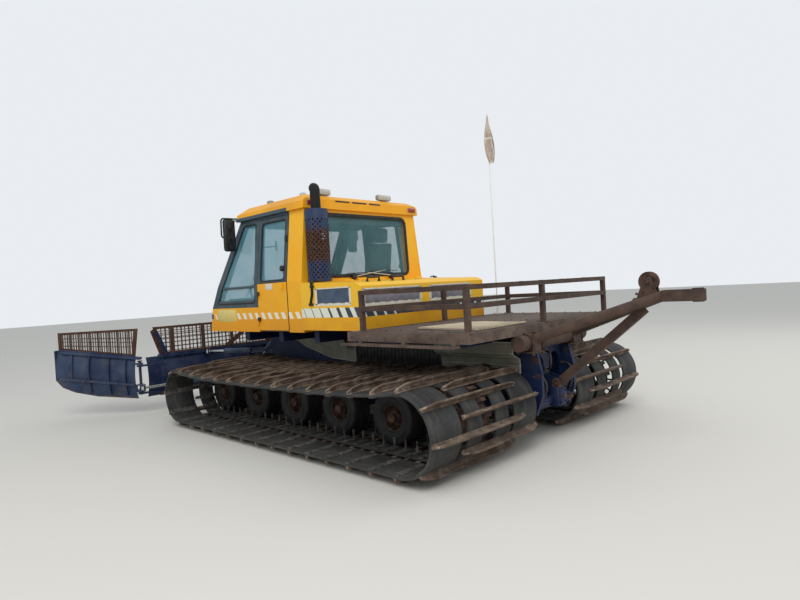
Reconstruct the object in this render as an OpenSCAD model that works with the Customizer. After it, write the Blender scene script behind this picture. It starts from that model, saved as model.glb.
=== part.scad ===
// Snow groomer on wide steel-bar tracks, with a raked cab, a folding blade in front
// and a railed work deck with a lifting boom behind.
// Units are millimetres. X points forward, Y to the machine's left, Z up.
// Stations along X are given from the rear end of the tracks; the whole machine is
// then moved by mid_x, so that the origin is below its middle, on the ground.

/* [Tracks] */
// Overall width over both tracks
track_span = 3900; // [3700:10:4200]
// Width of one track
track_w = 1530; // [1400:10:1560]
// Height of the belts' lower face above the tips of the bars
bar_h = 70; // [50:1:90]
// Thickness of a belt
belt_t = 22; // [16:1:30]
// Thickness of a crossbar along the track
bar_t = 34; // [24:1:44]
// Number of crossbars in one track, half of them of each kind
bar_count = 68; // [52:2:72]
// Sag of the upper run between the end wheels
belt_sag = 65; // [30:1:75]
// Bend radius of the belts over the rear sprocket
rear_r = 350; // [330:1:370]
// Bend radius of the belts round the front wheel
front_r = 324; // [310:1:340]
// Distance between the rear sprocket's and the front wheel's axles
axle_run = 3959; // [3700:1:4200]

/* [Wheels] */
// Radius of a road wheel's tyre
wheel_r = 268; // [240:1:272]
// Width of a road wheel's tyre
wheel_w = 250; // [180:1:300]
// Number of wheels in a track, the front one among them
wheel_count = 5; // [4:1:5]

/* [Chassis] */
// Half width of the hull between the tracks
hull_half = 350; // [300:1:370]
// Height of the hull's top edge
hull_top = 1150; // [1100:1:1180]
// Height of the hull's belly plate
hull_bottom = 330; // [280:1:400]
// Thickness of the hull's plates
hull_t = 16; // [10:1:24]

/* [Cab] */
// Station of the cab's rear face
cab_rear = 2700; // [2650:1:2750]
// Station of the windscreen's foot
ws_foot = 4870; // [4700:1:4950]
// Station of the windscreen's head
ws_head = 4130; // [4050:1:4150]
// Height of the cab's underside
cab_z0 = 1150; // [1120:1:1180]
// Height of the windscreen's foot
ws_z = 1470; // [1430:1:1520]
// Height of the belt line, where the cab's sides begin to lean in
belt_z = 1770; // [1720:1:1820]
// Height of the upper edge of the walls, under the roof
eaves_z = 2640; // [2580:1:2700]
// Half width of the cab up to the belt line
cab_half = 1070; // [1000:1:1100]
// Half width of the cab at the eaves
eaves_half = 965; // [930:1:1000]
// Thickness of walls and doors
wall_t = 42; // [36:1:50]

/* [Hood and exhaust] */
// Station of the hood's rear face
hood_rear = 1640; // [1600:1:1700]
// Half width of the hood
hood_half = 1090; // [1050:1:1100]
// Height of the hood's top
hood_top = 1745; // [1720:1:1765]
// Radius of the guard round the exhaust pipe
guard_r = 150; // [130:1:160]
// Radius of the exhaust pipe
pipe_r = 54; // [40:1:60]

/* [Deck] */
// Half width of the deck between its rails
deck_half = 1330; // [1250:1:1350]
// Height of the deck's floor
deck_z = 1200; // [1180:1:1220]
// Height of the rails above the floor
rail_h = 410; // [350:1:500]
// Side of the square rail tubes
rail_t = 46; // [36:1:50]

/* [Boom] */
// Station of the boom's rear end, behind the tracks
boom_end = -1400; // [-1500:1:-1300]
// Half spread of the boom's legs at the cross tube
boom_spread = 400; // [350:1:420]
// Radius of the cable sheave
sheave_r = 88; // [70:1:92]
// Radius of the hitch hole at the boom's end
hitch_r = 20; // [12:1:30]

/* [Blade] */
// Station of the hinges between blade and wings
hinge_x = 5720; // [5650:1:5800]
// Distance of a wing's hinge from the middle of the machine
hinge_y = 1820; // [1750:1:1850]
// Length of a wing
wing_l = 1190; // [1000:1:1200]
// Angle at which the wings stand folded forward of the blade's line
wing_fold = 45; // [35:1:50]
// Height of the blade's cutting edge above the ground
blade_z0 = 225; // [200:1:260]
// Height of the moldboard's upper edge
blade_z1 = 820; // [780:1:850]
// Height of the screens' upper edge
screen_z = 1250; // [1200:1:1300]
// Rise of a wing's outer end
wing_rise = 165; // [100:1:180]

/* [Flag] */
// Height of the flag pole's tip
pole_top = 3870; // [3500:10:4000]

/* [Hidden] */
$fn = 48;

amber = "#f0aa10";
blue = "#27406b";
rust = "#5b3a2a";
rubber = "#26262a";
olive = "#7b7a66";
slate = "#3c4c5c";
sky = [0.55, 0.75, 0.78, 0.45];
steel = "#c8ccd0";

gap = 6;
track_out = track_span / 2;
track_in = track_out - track_w;
track_mid = (track_in + track_out) / 2;
rear_x = rear_r;
front_x = rear_r + axle_run;
rear_z = bar_h + rear_r;
front_z = bar_h + front_r;
front_arc = PI * front_r;
rear_arc = PI * rear_r;
loop_l = 2 * axle_run + front_arc + rear_arc;
seat = 0.3;
wheel_z = bar_h + belt_t + seat + wheel_r;

// Belts across one track, from its outer edge: [start, end]
BELTS = [[0, 380], [470, 670], [860, 1060], [1150, 1530]];
// The two kinds of crossbar, from the track's outer edge: [start, end]
BARS = [[0, 1290], [410, 1560]];

function lerp(a, b, t) = a + (b - a) * t;
function upper_z(t) = lerp(2 * front_r, 2 * rear_r, t) + bar_h - belt_sag * (1 - pow(2 * t - 1, 4));
function upper_slope(t) = atan2(upper_z(t) - upper_z(t + 0.01), axle_run * 0.01);

// A place on the belts' outer face, as [x, z, direction of the outward normal]
function on_loop(s) =
  s < axle_run ? [rear_x + s, bar_h, -90]
  : s < axle_run + front_arc ? on_end(front_x, front_z, front_r, -90 + (s - axle_run) / front_arc * 180)
  : s < 2 * axle_run + front_arc ? on_top((s - axle_run - front_arc) / axle_run)
  : on_end(rear_x, rear_z, rear_r, 90 + (s - 2 * axle_run - front_arc) / rear_arc * 180);
function on_end(x, z, r, a) = [x + r * cos(a), z + r * sin(a), a];
function on_top(t) = [front_x - axle_run * t, upper_z(t), 90 + upper_slope(t)];
function inward(p, d) = [p[0] - d * cos(p[2]), p[1] - d * sin(p[2])];

// Stations where the belts' outline is cut into flats
belt_cuts = concat(
  [0],
  [for (i = [0:12]) axle_run + front_arc * i / 12],
  [for (i = [1:11]) axle_run + front_arc + axle_run * i / 12],
  [for (i = [0:11]) 2 * axle_run + front_arc + rear_arc * i / 12]
);

module belt_outline(d) {
  polygon([for (s = belt_cuts) inward(on_loop(s), d)]);
}

// A crossbar standing on the belts, its ends tapered towards the tips
module crossbar(y0, y1) {
  taper = 55;
  shoulder = bar_h * 0.45;
  linear_extrude(bar_t, center = true)
    polygon([[-8, y0], [-8, y1], [shoulder, y1], [bar_h, y1 - taper], [bar_h, y0 + taper], [shoulder, y0]]);
}

// One track, measured from its outer edge towards the hull
module track() {
  color(rubber)
    for (b = BELTS)
      translate([0, -b[0], 0]) rotate([90, 0, 0]) linear_extrude(b[1] - b[0])
        difference() {
          belt_outline(0);
          belt_outline(belt_t);
        }
  color(rust)
    for (i = [0:bar_count - 1]) {
      p = on_loop((i + 0.5) * loop_l / bar_count);
      b = BARS[i % 2];
      translate([p[0], 0, p[1]]) rotate([0, -p[2], 0]) crossbar(-b[1], -b[0]);
    }
}

module track_left() {
  translate([0, track_out, 0]) track();
}

module track_right() {
  mirror([0, 1, 0]) track_left();
}

module bar_x(x0, x1, y, z, r) {
  translate([x0, y, z]) rotate([0, 90, 0]) cylinder(h = x1 - x0, r = r);
}

module bar_y(x, y0, y1, z, r) {
  translate([x, y0, z]) rotate([-90, 0, 0]) cylinder(h = y1 - y0, r = r);
}

// The points of a polygon whose corners are rounded with the radius r
function rounded(p, r) =
  [for (i = [0:len(p) - 1]) each corner(p[(i + len(p) - 1) % len(p)], p[i], p[(i + 1) % len(p)], r)];
function corner(a, b, c, r) =
  let (u = (a - b) / norm(a - b), v = (c - b) / norm(c - b), half = acos(u * v) / 2,
       o = b + (u + v) / norm(u + v) * r / sin(half))
  [for (i = [0:4])
    let (q = lerp(b + u * r / tan(half), b + v * r / tan(half), i / 4) - o)
    o + q * r / norm(q)];

module box(x, y, z) {
  translate([x[0], y[0], z[0]]) cube([x[1] - x[0], y[1] - y[0], z[1] - z[0]]);
}

module both() {
  children();
  mirror([0, 1, 0]) children();
}

// A plate whose outline is drawn in X and Z, between two distances from the middle
module plate_xz(y0, y1) {
  translate([0, y1, 0]) rotate([90, 0, 0]) linear_extrude(y1 - y0) children();
}

wheel_x0 = 1080;
function wheel_x(i) = lerp(wheel_x0, front_x - 24, i / (wheel_count - 1));
axle_r = 38;

module road_wheel(x) {
  tread = wheel_w / 2;
  translate([x, track_mid, wheel_z]) rotate([90, 0, 0]) {
    color(rubber)
      rotate_extrude()
        polygon([[120, -tread + 20], [wheel_r - 30, -tread], [wheel_r - 10, -tread], [wheel_r, -tread + 10],
                 [wheel_r, tread - 10], [wheel_r - 10, tread], [wheel_r - 30, tread], [120, tread - 20]]);
    color(rust)
      rotate_extrude()
        polygon([[axle_r + seat, -70], [60, -70], [75, -30], [120.5, -30], [120.5, 20], [75, 20],
                 [60, 60], [axle_r + seat, 60]]);
  }
}

module road_wheels_left() {
  for (i = [0:wheel_count - 1]) road_wheel(wheel_x(i));
}

module road_wheels_right() {
  mirror([0, 1, 0]) road_wheels_left();
}

sprocket_teeth = 15;
module sprocket_left() {
  color(rust) translate([rear_x, track_mid, rear_z]) rotate([90, 0, 0]) {
    difference() {
      cylinder(h = 130, r = 292, center = true);
      for (i = [0:5])
        rotate(i * 60) translate([190, 0, 0]) cylinder(h = 140, r = 52, center = true);
      cylinder(h = 140, r = 70 + seat, center = true);
    }
    for (i = [0:sprocket_teeth - 1])
      rotate(i * 360 / sprocket_teeth) translate([285, -20, -55]) cube([49, 40, 110]);
  }
}

module sprocket_right() {
  mirror([0, 1, 0]) sprocket_left();
}

hull_rear = 260;
hull_nose = front_x + 211;
pivot_x = hull_nose + 80;
pivot_z = 420;
lift_pin_x = hull_nose + 100;
lift_pin_z = 1000;
lift_pin_r = 24;
lift_y = 140;
arm_y = 270;
pivot_r = 32;
hood_z0 = 1180;

module chassis_frame() {
  color(blue) {
    difference() {
      plate_xz(-hull_half, hull_half)
        polygon([[hull_rear, hull_bottom + 90], [hull_rear + 90, hull_bottom], [hull_nose - 160, hull_bottom],
                 [hull_nose, hull_bottom + 60], [hull_nose, hull_top], [hull_rear, hull_top]]);
      box([hull_rear + hull_t, hull_nose - hull_t], [-hull_half + hull_t, hull_half - hull_t],
          [hull_bottom + 95, hull_top + 1]);
    }
    for (i = [0:wheel_count - 1])
      both() bar_y(wheel_x(i), hull_half - 1, track_mid + 110, wheel_z, axle_r);
    both() bar_y(rear_x, hull_half - 1, track_mid + 90, rear_z, 70);
    // Outriggers that carry the cab, the hood and the deck over the tracks: [station, top]
    for (o = [[420, 1100], [1250, 1100], [1900, hood_z0], [2560, hood_z0], [3300, cab_z0], [4100, cab_z0]])
      both() box([o[0], o[0] + 90], [hull_half - 1, cab_half - 110], [1020, o[1]]);
    both() pin_ears(hull_nose - 1, lift_pin_x, lift_pin_z, lift_y, lift_pin_r, 42, 56);
    both() pin_ears(hull_nose - 1, pivot_x, pivot_z, arm_y, pivot_r, 60, 55);
  }
}

// Two ears that reach forward from x0 and hold a pin, spread around the distance y
module pin_ears(x0, x, z, y, r, reach, spread) {
  for (side = [-1, 1])
    translate([0, y + side * spread, 0]) plate_xz(-8, 8) {
      polygon([[x0, z - reach * 1.3], [x, z - reach], [x, z + reach], [x0, z + reach * 1.3]]);
      translate([x, z]) circle(reach);
    }
  bar_y(x, y - spread, y + spread, z, r);
}

// Ribbed panels along the hull's rear flanks, above the tracks
module side_panels() {
  color(olive)
    both() {
      plate_xz(470, 482)
        polygon([[190, 900], [230, 1018], [1190, 1018], [1190, 900]]);
      for (z = [912, 948, 984])
        box([230, 1180], [480, 496], [z, z + 18]);
      plate_xz(470, 482)
        polygon([[2620, 880], [2700, 1018], [3860, 1010], [3860, 990]]);
      for (x = [300, 1100, 2900, 3500])
        box([x, x + 60], [hull_half, 471], [960, 1000]);
    }
}

module engine_block() {
  color("dimgray") box([1760, 2500], [-hull_half + hull_t, hull_half - hull_t], [620, 1480]);
}

hood_t = 26;
hood_slope = 45;
lid_front = 2350;
lid_hinge_x = lid_front - 3;
lid_hinge_z = hood_top - 4;
// Knuckles of the lid's hinges, by their middle's distance to the left
LID_HINGES = [-620, 620];
panel_z0 = 1485;
panel_z1 = 1650;
panel_t = 10;

// Side view of the hood; the top falls slightly to the rear
module hood_outline(d) {
  polygon([[hood_rear + d, hood_z0 - (d > 0 ? 1 : 0)], [cab_rear - d, hood_z0 - (d > 0 ? 1 : 0)],
           [cab_rear - d, hood_top - d], [hood_rear + 90, hood_top - hood_slope - d],
           [hood_rear + d, hood_top - hood_slope - 40 - d]]);
}

// Openings of the hood's panels, in its sides and in its rear wall: [from, to]
SIDE_PANELS = [[1835, 2395]];
REAR_PANELS = [[165, 1035], [-795, -45]];

module panel_cuts() {
  for (g = SIDE_PANELS)
    both() box([g[0], g[1]], [hood_half - hood_t - 1, hood_half + 1], [panel_z0, panel_z1]);
  for (g = REAR_PANELS)
    box([hood_rear - 1, hood_rear + hood_t + 1], g, [panel_z0 - 15, panel_z1 - 30]);
}

module lid_zone(d) {
  plate_xz(-hood_half + 60 + d, hood_half - 60 - d)
    polygon([[hood_rear + 130 + d, hood_top - 120], [lid_front - d, hood_top - 120],
             [lid_front - d, hood_top + 10], [hood_rear + 130 + d, hood_top + 10]]);
}

module engine_hood() {
  color(amber)
    difference() {
      plate_xz(-hood_half, hood_half) hood_outline(0);
      plate_xz(-hood_half + hood_t, hood_half - hood_t) hood_outline(hood_t);
      lid_zone(0);
      panel_cuts();
    }
  color(amber)
    intersection() {
      hood_skin(hood_t + seat, hood_t + 9);
      difference() {
        lid_zone(-20);
        lid_zone(34);
      }
    }
  color(amber)
    intersection() {
      hood_skin(hood_t - 1, hood_t + 9);
      difference() {
        lid_zone(-20);
        lid_zone(-0.5);
      }
    }
  color("black")
    for (y = LID_HINGES) {
      bar_y(lid_hinge_x, y + 1, y + 60, lid_hinge_z, knuckle_r);
      box([lid_hinge_x, lid_hinge_x + 60], [y + 1, y + 60], [lid_hinge_z - 18, lid_hinge_z - 6]);
    }
}

// The layer of the hood between two depths below its surface
module hood_skin(d0, d1) {
  difference() {
    plate_xz(-hood_half, hood_half) hood_outline(d0);
    plate_xz(-hood_half - 1, hood_half + 1) hood_outline(d1);
  }
}

module hood_lid() {
  color(amber) {
    intersection() {
      hood_skin(0, hood_t);
      lid_zone(gap);
    }
  }
  color("black") {
    for (y = [620, 850])
      grab_handle(hood_rear + 200, y, hood_top - hood_slope - 2);
    for (y = LID_HINGES) {
      bar_y(lid_hinge_x, y - 60, y - 1, lid_hinge_z, knuckle_r);
      box([lid_hinge_x - 60, lid_hinge_x], [y - 60, y - 1], [lid_hinge_z - 18, lid_hinge_z - 6]);
    }
  }
}

module grab_handle(x, y, z) {
  for (s = [-1, 1]) box([x - 7, x + 7], [y + s * 60 - 7, y + s * 60 + 7], [z, z + 45]);
  box([x - 7, x + 7], [y - 67, y + 67], [z + 36, z + 50]);
}

// Closing panels of the hood's windows, set back from its skin
module hood_panels() {
  color(slate) {
    for (g = SIDE_PANELS)
      both() box([g[0], g[1]], [hood_half - 4 - panel_t, hood_half - 4], [panel_z0, panel_z1]);
    for (g = REAR_PANELS)
      box([hood_rear + 4, hood_rear + 4 + panel_t], g, [panel_z0 - 15, panel_z1 - 30]);
  }
}

stack_x = 2530;
stack_y = 900;
guard_z1 = 2600;
// The elbow at the pipe's top, which turns its mouth forward
elbow_z = 1055;
elbow_r = 64;
elbow_tilt = 62;

module exhaust_pipe() {
  color("dimgray")
    translate([stack_x, stack_y, hood_top]) {
      difference() {
        union() {
          cylinder(h = elbow_z, r = pipe_r);
          translate([0, 0, elbow_z - 100]) cylinder(h = 100, r = elbow_r);
          translate([0, 0, elbow_z]) sphere(r = elbow_r + 2);
          translate([0, 0, elbow_z]) rotate([0, elbow_tilt, 0]) cylinder(h = 120, r = elbow_r);
        }
        translate([0, 0, elbow_z]) rotate([0, elbow_tilt, 0]) cylinder(h = 130, r = elbow_r - 6);
      }
    }
}

module exhaust_guard() {
  color(blue)
    translate([stack_x, stack_y, hood_top]) {
      difference() {
        cylinder(h = guard_z1 - hood_top, r = guard_r);
        translate([0, 0, -1]) cylinder(h = guard_z1 - hood_top + 2, r = guard_r - 5);
      }
      for (z = [40, 480, guard_z1 - hood_top - 60])
        difference() {
          translate([0, 0, z]) for (a = [0, 90]) rotate(a) translate([-guard_r + 3, -15, 0]) cube([guard_r * 2 - 6, 30, 6]);
          translate([0, 0, z - 1]) cylinder(h = 10, r = pipe_r);
        }
    }
}

nose_x = 4945;
door_w = 660;
door_x1 = ws_head - 470;
door_x0 = door_x1 - door_w;
door_hinge_x = door_x1 + 3;
door_hinge_y = cab_half + 12;
knuckle_r = 10;
// Hinges of a door, by their middle's height
DOOR_HINGES = [1290, 1620];
door_z0 = cab_z0 + 12;
door_z1 = 2600;
glass_t = 6;
glass_in = 16;

// The cab's outer form, shrunk by d on all four sides
module cab_form(d) {
  intersection() {
    plate_xz(-cab_half - 1, cab_half + 1)
      polygon([[cab_rear + d, cab_z0 - d], [nose_x - d, cab_z0 - d], [nose_x - d, cab_z0],
               [ws_foot - d, ws_z], [ws_head - d, eaves_z],
               [ws_head - d, eaves_z + d], [cab_rear + d, eaves_z + d]]);
    plate_yz(cab_rear - 1, nose_x + 1)
      polygon([[-cab_half + d, cab_z0 - d - 1], [cab_half - d, cab_z0 - d - 1], [cab_half - d, belt_z],
               [eaves_half - d, eaves_z], [eaves_half - d, eaves_z + d + 1], [-eaves_half + d, eaves_z + d + 1],
               [-eaves_half + d, eaves_z], [-cab_half + d, belt_z]]);
  }
}

// A plate whose outline is drawn in Y and Z, between two stations
module plate_yz(x0, x1) {
  translate([x0, 0, 0]) rotate([90, 0, 90]) linear_extrude(x1 - x0) children();
}

module cab_walls() {
  difference() {
    cab_form(0);
    cab_form(wall_t);
  }
}

module rear_opening() {
  plate_yz(cab_rear - 5, cab_rear + wall_t + 5)
    polygon(rounded([[-800, 1810], [800, 1810], [770, 2580], [-770, 2580]], 90));
}

module windscreen_opening() {
  plate_yz(ws_head - 300, nose_x + 10)
    polygon(rounded([[-940, ws_z + 70], [940, ws_z + 70], [840, eaves_z - 60], [-840, eaves_z - 60]], 60));
}

module quarter_opening(y0, y1) {
  plate_xz(y0, y1)
    polygon(rounded([[door_x1 + 80, ws_z + 60], [ws_foot - 160, ws_z + 60], [ws_head - 90, eaves_z - 70],
                     [door_x1 + 80, eaves_z - 70]], 45));
}

module door_window() {
  plate_xz(800, 1100)
    polygon(rounded([[door_x0 + 60, belt_z + 30], [door_x1 - 70, belt_z + 30],
                     [door_x1 - 70, door_z1 - 50], [door_x0 + 60, door_z1 - 50]], 45));
}

module glass_skin() {
  difference() {
    cab_form(glass_in);
    cab_form(glass_in + glass_t);
  }
}

module cab_floor() {
  color("dimgray") box([cab_rear + wall_t, nose_x - wall_t - 10], [-cab_half + wall_t, cab_half - wall_t], [cab_z0, cab_z0 + 30]);
}

module cab_rear_wall() {
  color(amber)
    difference() {
      intersection() {
        cab_walls();
        box([cab_rear - 1, cab_rear + wall_t], [-1200, 1200], [cab_z0, eaves_z]);
      }
      rear_opening();
    }
}

module cab_side_left() {
  color(amber)
    difference() {
      intersection() {
        cab_walls();
        box([cab_rear + wall_t + seat, door_x1 + gap], [500, 1200], [cab_z0, eaves_z]);
      }
      box([door_x0 - gap, door_x1 + 2 * gap], [500, 1200], [cab_z0 - 1, door_z1 + gap]);
    }
}

module cab_side_right() {
  mirror([0, 1, 0]) cab_side_left();
}

module cab_nose() {
  color(amber)
    intersection() {
      cab_walls();
      box([door_x1 + gap, nose_x + 1], [-1200, 1200], [cab_z0, ws_z]);
    }
  color("black") both() door_knuckle(DOOR_HINGES[0]);
}

// The fixed half of a door hinge, on the pillar in front of the door
module door_knuckle(z) {
  bar_z(door_hinge_x, door_hinge_y, z - 50, z - 1, knuckle_r);
  box([door_hinge_x, door_hinge_x + 60], [cab_half - 4, cab_half + 8], [z - 50, z - 1]);
}

module window_frame() {
  color(slate)
    difference() {
      intersection() {
        cab_walls();
        box([door_x1 + gap, nose_x + 1], [-1200, 1200], [ws_z, eaves_z]);
      }
      windscreen_opening();
      quarter_opening(-1200, 1200);
    }
  color("black") both() door_knuckle(DOOR_HINGES[1]);
}

module windscreen() {
  color(sky)
    intersection() {
      glass_skin();
      windscreen_opening();
    }
}

module rear_window() {
  color(sky)
    intersection() {
      glass_skin();
      rear_opening();
    }
}

module side_windows() {
  color(sky)
    intersection() {
      glass_skin();
      union() {
        quarter_opening(500, 1200);
        quarter_opening(-1200, -500);
      }
    }
}

module door_left() {
  color(amber)
    difference() {
      intersection() {
        cab_walls();
        box([door_x0, door_x1], [500, 1200], [door_z0, door_z1]);
      }
      door_window();
    }
  color("black") {
    box([door_x0 + 70, door_x0 + 110], [cab_half - 40, cab_half + 24], [1690, 1760]);
    for (z = DOOR_HINGES) {
      bar_z(door_hinge_x, door_hinge_y, z + 1, z + 50, knuckle_r);
      box([door_hinge_x - 60, door_hinge_x], [cab_half - 4, cab_half + 8], [z + 1, z + 50]);
    }
  }
}

module door_right() {
  mirror([0, 1, 0]) door_left();
}

module door_glass_left() {
  color(sky)
    intersection() {
      glass_skin();
      door_window();
    }
}

module door_glass_right() {
  mirror([0, 1, 0]) door_glass_left();
}

roof_z1 = 2815;
module roof_form(d) {
  intersection() {
    plate_xz(-1100, 1100)
      polygon([[2660 + d, eaves_z - d], [ws_head + 50 - d, eaves_z - d], [ws_head + 30 - d, 2720],
               [ws_head - 120, roof_z1 - d], [2760, roof_z1 - d], [2660 + d, 2760 - d]]);
    plate_yz(2600, 4300)
      polygon([[-1010 + d, eaves_z - d - 1], [1010 - d, eaves_z - d - 1], [1000 - d, 2730], [900, roof_z1 - d],
               [-900, roof_z1 - d], [-1000 + d, 2730]]);
  }
}

// Air slots in the roof's rear edge: [from, to]
ROOF_SLOTS = [[275, 506], [-20, 224], [-276, -74]];

module cab_roof() {
  color(amber)
    difference() {
      roof_form(0);
      for (s = ROOF_SLOTS) box([2650, 2672], s, [2736, 2750]);
      difference() {
        roof_form(40);
        // The rim that rests on the walls
        difference() {
          box([2600, 4300], [-1100, 1100], [eaves_z - 60, eaves_z + 20]);
          box([cab_rear + wall_t, ws_head - wall_t - 10], [-eaves_half + wall_t, eaves_half - wall_t],
              [eaves_z - 61, eaves_z + 21]);
        }
      }
    }
}

// Seats, by their distance from the middle
SEATS = [-520, 520];
seat_x = door_x0 + 330;

module seats() {
  for (y = SEATS)
    translate([seat_x, y, cab_z0 + 30]) {
      color("black") {
        box([-60, 260], [-170, 170], [0, 330]);
        box([-170, 350], [-240, 240], [330, 450]);
        plate_xz(-230, 230)
          polygon([[-200, 449], [-70, 449], [-150, 1050], [-240, 1050]]);
        plate_xz(-130, 130)
          polygon([[-238, 1110], [-160, 1110], [-175, 1270], [-240, 1270]]);
        for (s = [-1, 1]) box([-215, -190], [s * 60 - 8, s * 60 + 8], [1049, 1111]);
      }
    }
}

wheel_rim_r = 190;

module dashboard() {
  color("dimgray") {
    plate_xz(-980, 980)
      polygon([[4560, cab_z0 + 30 + seat], [4780, cab_z0 + 30 + seat], [4780, 1540], [4500, 1600]]);
    box([door_x1 - 40, 4561], [-120, 120], [cab_z0 + 30 + seat, 1500]);
    for (y = [-60, 60]) bar_z(door_x1 + 140, y, 1499, 1680, 12);
    translate([4400, SEATS[1], 1640]) rotate([0, -58, 0]) {
      cylinder(h = 14, r = 40);
      rotate_extrude() translate([wheel_rim_r, 7]) circle(14, $fn = 8);
      for (a = [0:120:240]) rotate(a) translate([30, -14, 2]) cube([wheel_rim_r - 34, 28, 8]);
    }
    beam([4620, SEATS[1], 1490], [4401, SEATS[1], 1641], 50, 50);
  }
}

module bar_z(x, y, z0, z1, r) {
  translate([x, y, z0]) cylinder(h = z1 - z0, r = r);
}

mirror_x = ws_head + 100;
mirror_y = cab_half + 180;

module mirrors() {
  color("black")
    both() {
      plate_yz(mirror_x, mirror_x + 60)
        polygon(rounded([[mirror_y - 100, eaves_z - 440], [mirror_y + 100, eaves_z - 440],
                         [mirror_y + 100, eaves_z], [mirror_y - 100, eaves_z]], 40));
      difference() {
        box([ws_head + 10, mirror_x + 30], [930, 955], [eaves_z + 15, eaves_z + 40]);
        roof_form(-seat);
      }
      box([mirror_x + 10, mirror_x + 32], [930, mirror_y + 40], [eaves_z + 15, eaves_z + 40]);
      box([mirror_x + 10, mirror_x + 32], [mirror_y + 18, mirror_y + 40], [eaves_z - 40, eaves_z + 40]);
    }
}

// Lamps on the roof: [station, distance to the left, radius, height]
LAMPS = [[2880, 830, 48, 46]];
// Square work lamps at the roof's rear edge: [from, to]
WORK_LAMPS = [[494, 716], [-582, -330]];

module roof_lamps() {
  color("whitesmoke")
    for (l = LAMPS)
      translate([l[0], l[1], roof_z1 + seat]) cylinder(h = l[3], r = l[2]);
  color("whitesmoke")
    for (w = WORK_LAMPS) box([2766, 2836], w, [roof_z1 + seat, roof_z1 + 92]);
  color("black") translate([3560, 850, roof_z1 + seat]) cylinder(h = 42, r = 48);
  color("red")
    both() box([2636, 2660 - seat], [860, 960], [2680, 2730]);
}

deck_x0 = 60;
deck_x1 = hood_rear - 20;
frame_h = 90;
floor_t = 6;
step_w = 125;
post_t = rail_t;
// Posts of the rails: [station, distance to the left]
POSTS = [[deck_x0 + 25, deck_half - 25], [deck_x0 + 25, 70], [deck_x0 + 25, -deck_half + 25],
         [1400, deck_half - 25], [1400, 20], [1400, -deck_half + 25]];

module deck_frame() {
  color(rust) {
    difference() {
      union() {
        box([deck_x0, deck_x1], [-deck_half, deck_half], [deck_z - 12, deck_z - floor_t]);
        for (y = [-deck_half, -450, 390, deck_half - 60])
          box([deck_x0, deck_x1], [y, y + 60], [deck_z - 10 - frame_h, deck_z - 9]);
        for (x = [deck_x0, 700, deck_x1 - 60])
          box([x, x + 60], [-deck_half, deck_half], [deck_z - 10 - frame_h, deck_z - 9]);
      }
      // Room for the hull's upper edge
      box([hull_rear - gap, 4600], [-hull_half - 1, hull_half + 1], [deck_z - 200, hull_top + seat]);
    }
    // The two floor plates between the rails
    both() box([deck_x0 + 52, 1373], [3, deck_half - 52], [deck_z - floor_t - 1, deck_z]);
    both() {
      box([160, deck_x1 - 40], [deck_half - 1, deck_half + step_w], [deck_z - 130, deck_z - 118]);
      for (x = [200, 800, 1400]) box([x, x + 50], [deck_half - 40, deck_half + 12], [deck_z - 130, deck_z - 90]);
    }
  }
}

module deck_boards() {
  color("burlywood")
    translate([500, 700, deck_z]) rotate(-3.5) box([-360, 360], [-380, 380], [0, 18]);
}

module deck_rails() {
  x0 = deck_x0 + 2;
  x1 = 1423;
  y1 = deck_half - 2;
  color(rust) {
    for (p = POSTS)
      translate([p[0] - post_t / 2, p[1] - post_t / 2, deck_z - floor_t]) cube([post_t, post_t, rail_h + floor_t]);
    for (z = [deck_z + rail_h - rail_t, deck_z + 200])
      difference() {
        box([x0, x1], [-y1, y1], [z, z + rail_t]);
        box([x0 + rail_t, x1 - rail_t], [-y1 + rail_t, y1 - rail_t], [z - 1, z + rail_t + 1]);
      }
  }
}

flag_x = 1545;
flag_y = -1270;
pole_r = 9;
module flag_pole() {
  color("whitesmoke")
    translate([flag_x, flag_y, deck_z - floor_t]) {
      cylinder(h = 16, r = 55);
      cylinder(h = 60, r = 22);
      cylinder(h = pole_top - deck_z + floor_t, r = pole_r);
    }
}

module flag() {
  color("peachpuff")
    translate([flag_x - pole_r - seat, flag_y, 0]) plate_xz(-6, 6)
      polygon([[0, 3840], [0, 3260], [-180, 3190], [-90, 3500]]);
}

tube_x = 50;
tube_r = 75;
tube_z = deck_z - 10 - frame_h - tube_r - seat;
apex_x = -1080;
apex_z = 1430;
strut_x = -20;
strut_z = 580;

module rear_lift_frame() {
  color(blue) {
    both() plate_xz(300, 340)
      polygon([[hull_rear, 300], [60, 300], [-20, 500], [-20, 720], [30, tube_z - tube_r], [hull_rear, tube_z - tube_r]]);
    difference() {
      plate_yz(120, 150)
        polygon([[-341, 320], [341, 320], [341, 940], [-341, 940]]);
      for (y = [-165, 165]) {
        bar_x(119, 151, y, 760, 110);
        box([119, 151], [y - 110, y + 110], [480, 760]);
      }
    }
    bar_y(60, -341, 341, 420, 45);
    for (y = [-50, 50])
      plate_xz(y - 10, y + 10)
        polygon([[121, strut_z - 90], [-60, strut_z - 45], [-60, strut_z + 45], [121, strut_z + 90]]);
    bar_y(strut_x, -60, 60, strut_z, 18);
  }
}

module beam(a, b, w, h) {
  dir = b - a;
  len = norm(dir);
  translate(a)
    rotate([0, -asin(dir[2] / len), atan2(dir[1], dir[0])])
      translate([0, -w / 2, -h / 2]) cube([len, w, h]);
}

module tube(a, b, r) {
  dir = b - a;
  translate(a) rotate([0, acos(dir[2] / norm(dir)), atan2(dir[1], dir[0])]) cylinder(h = norm(dir), r = r);
}

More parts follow.
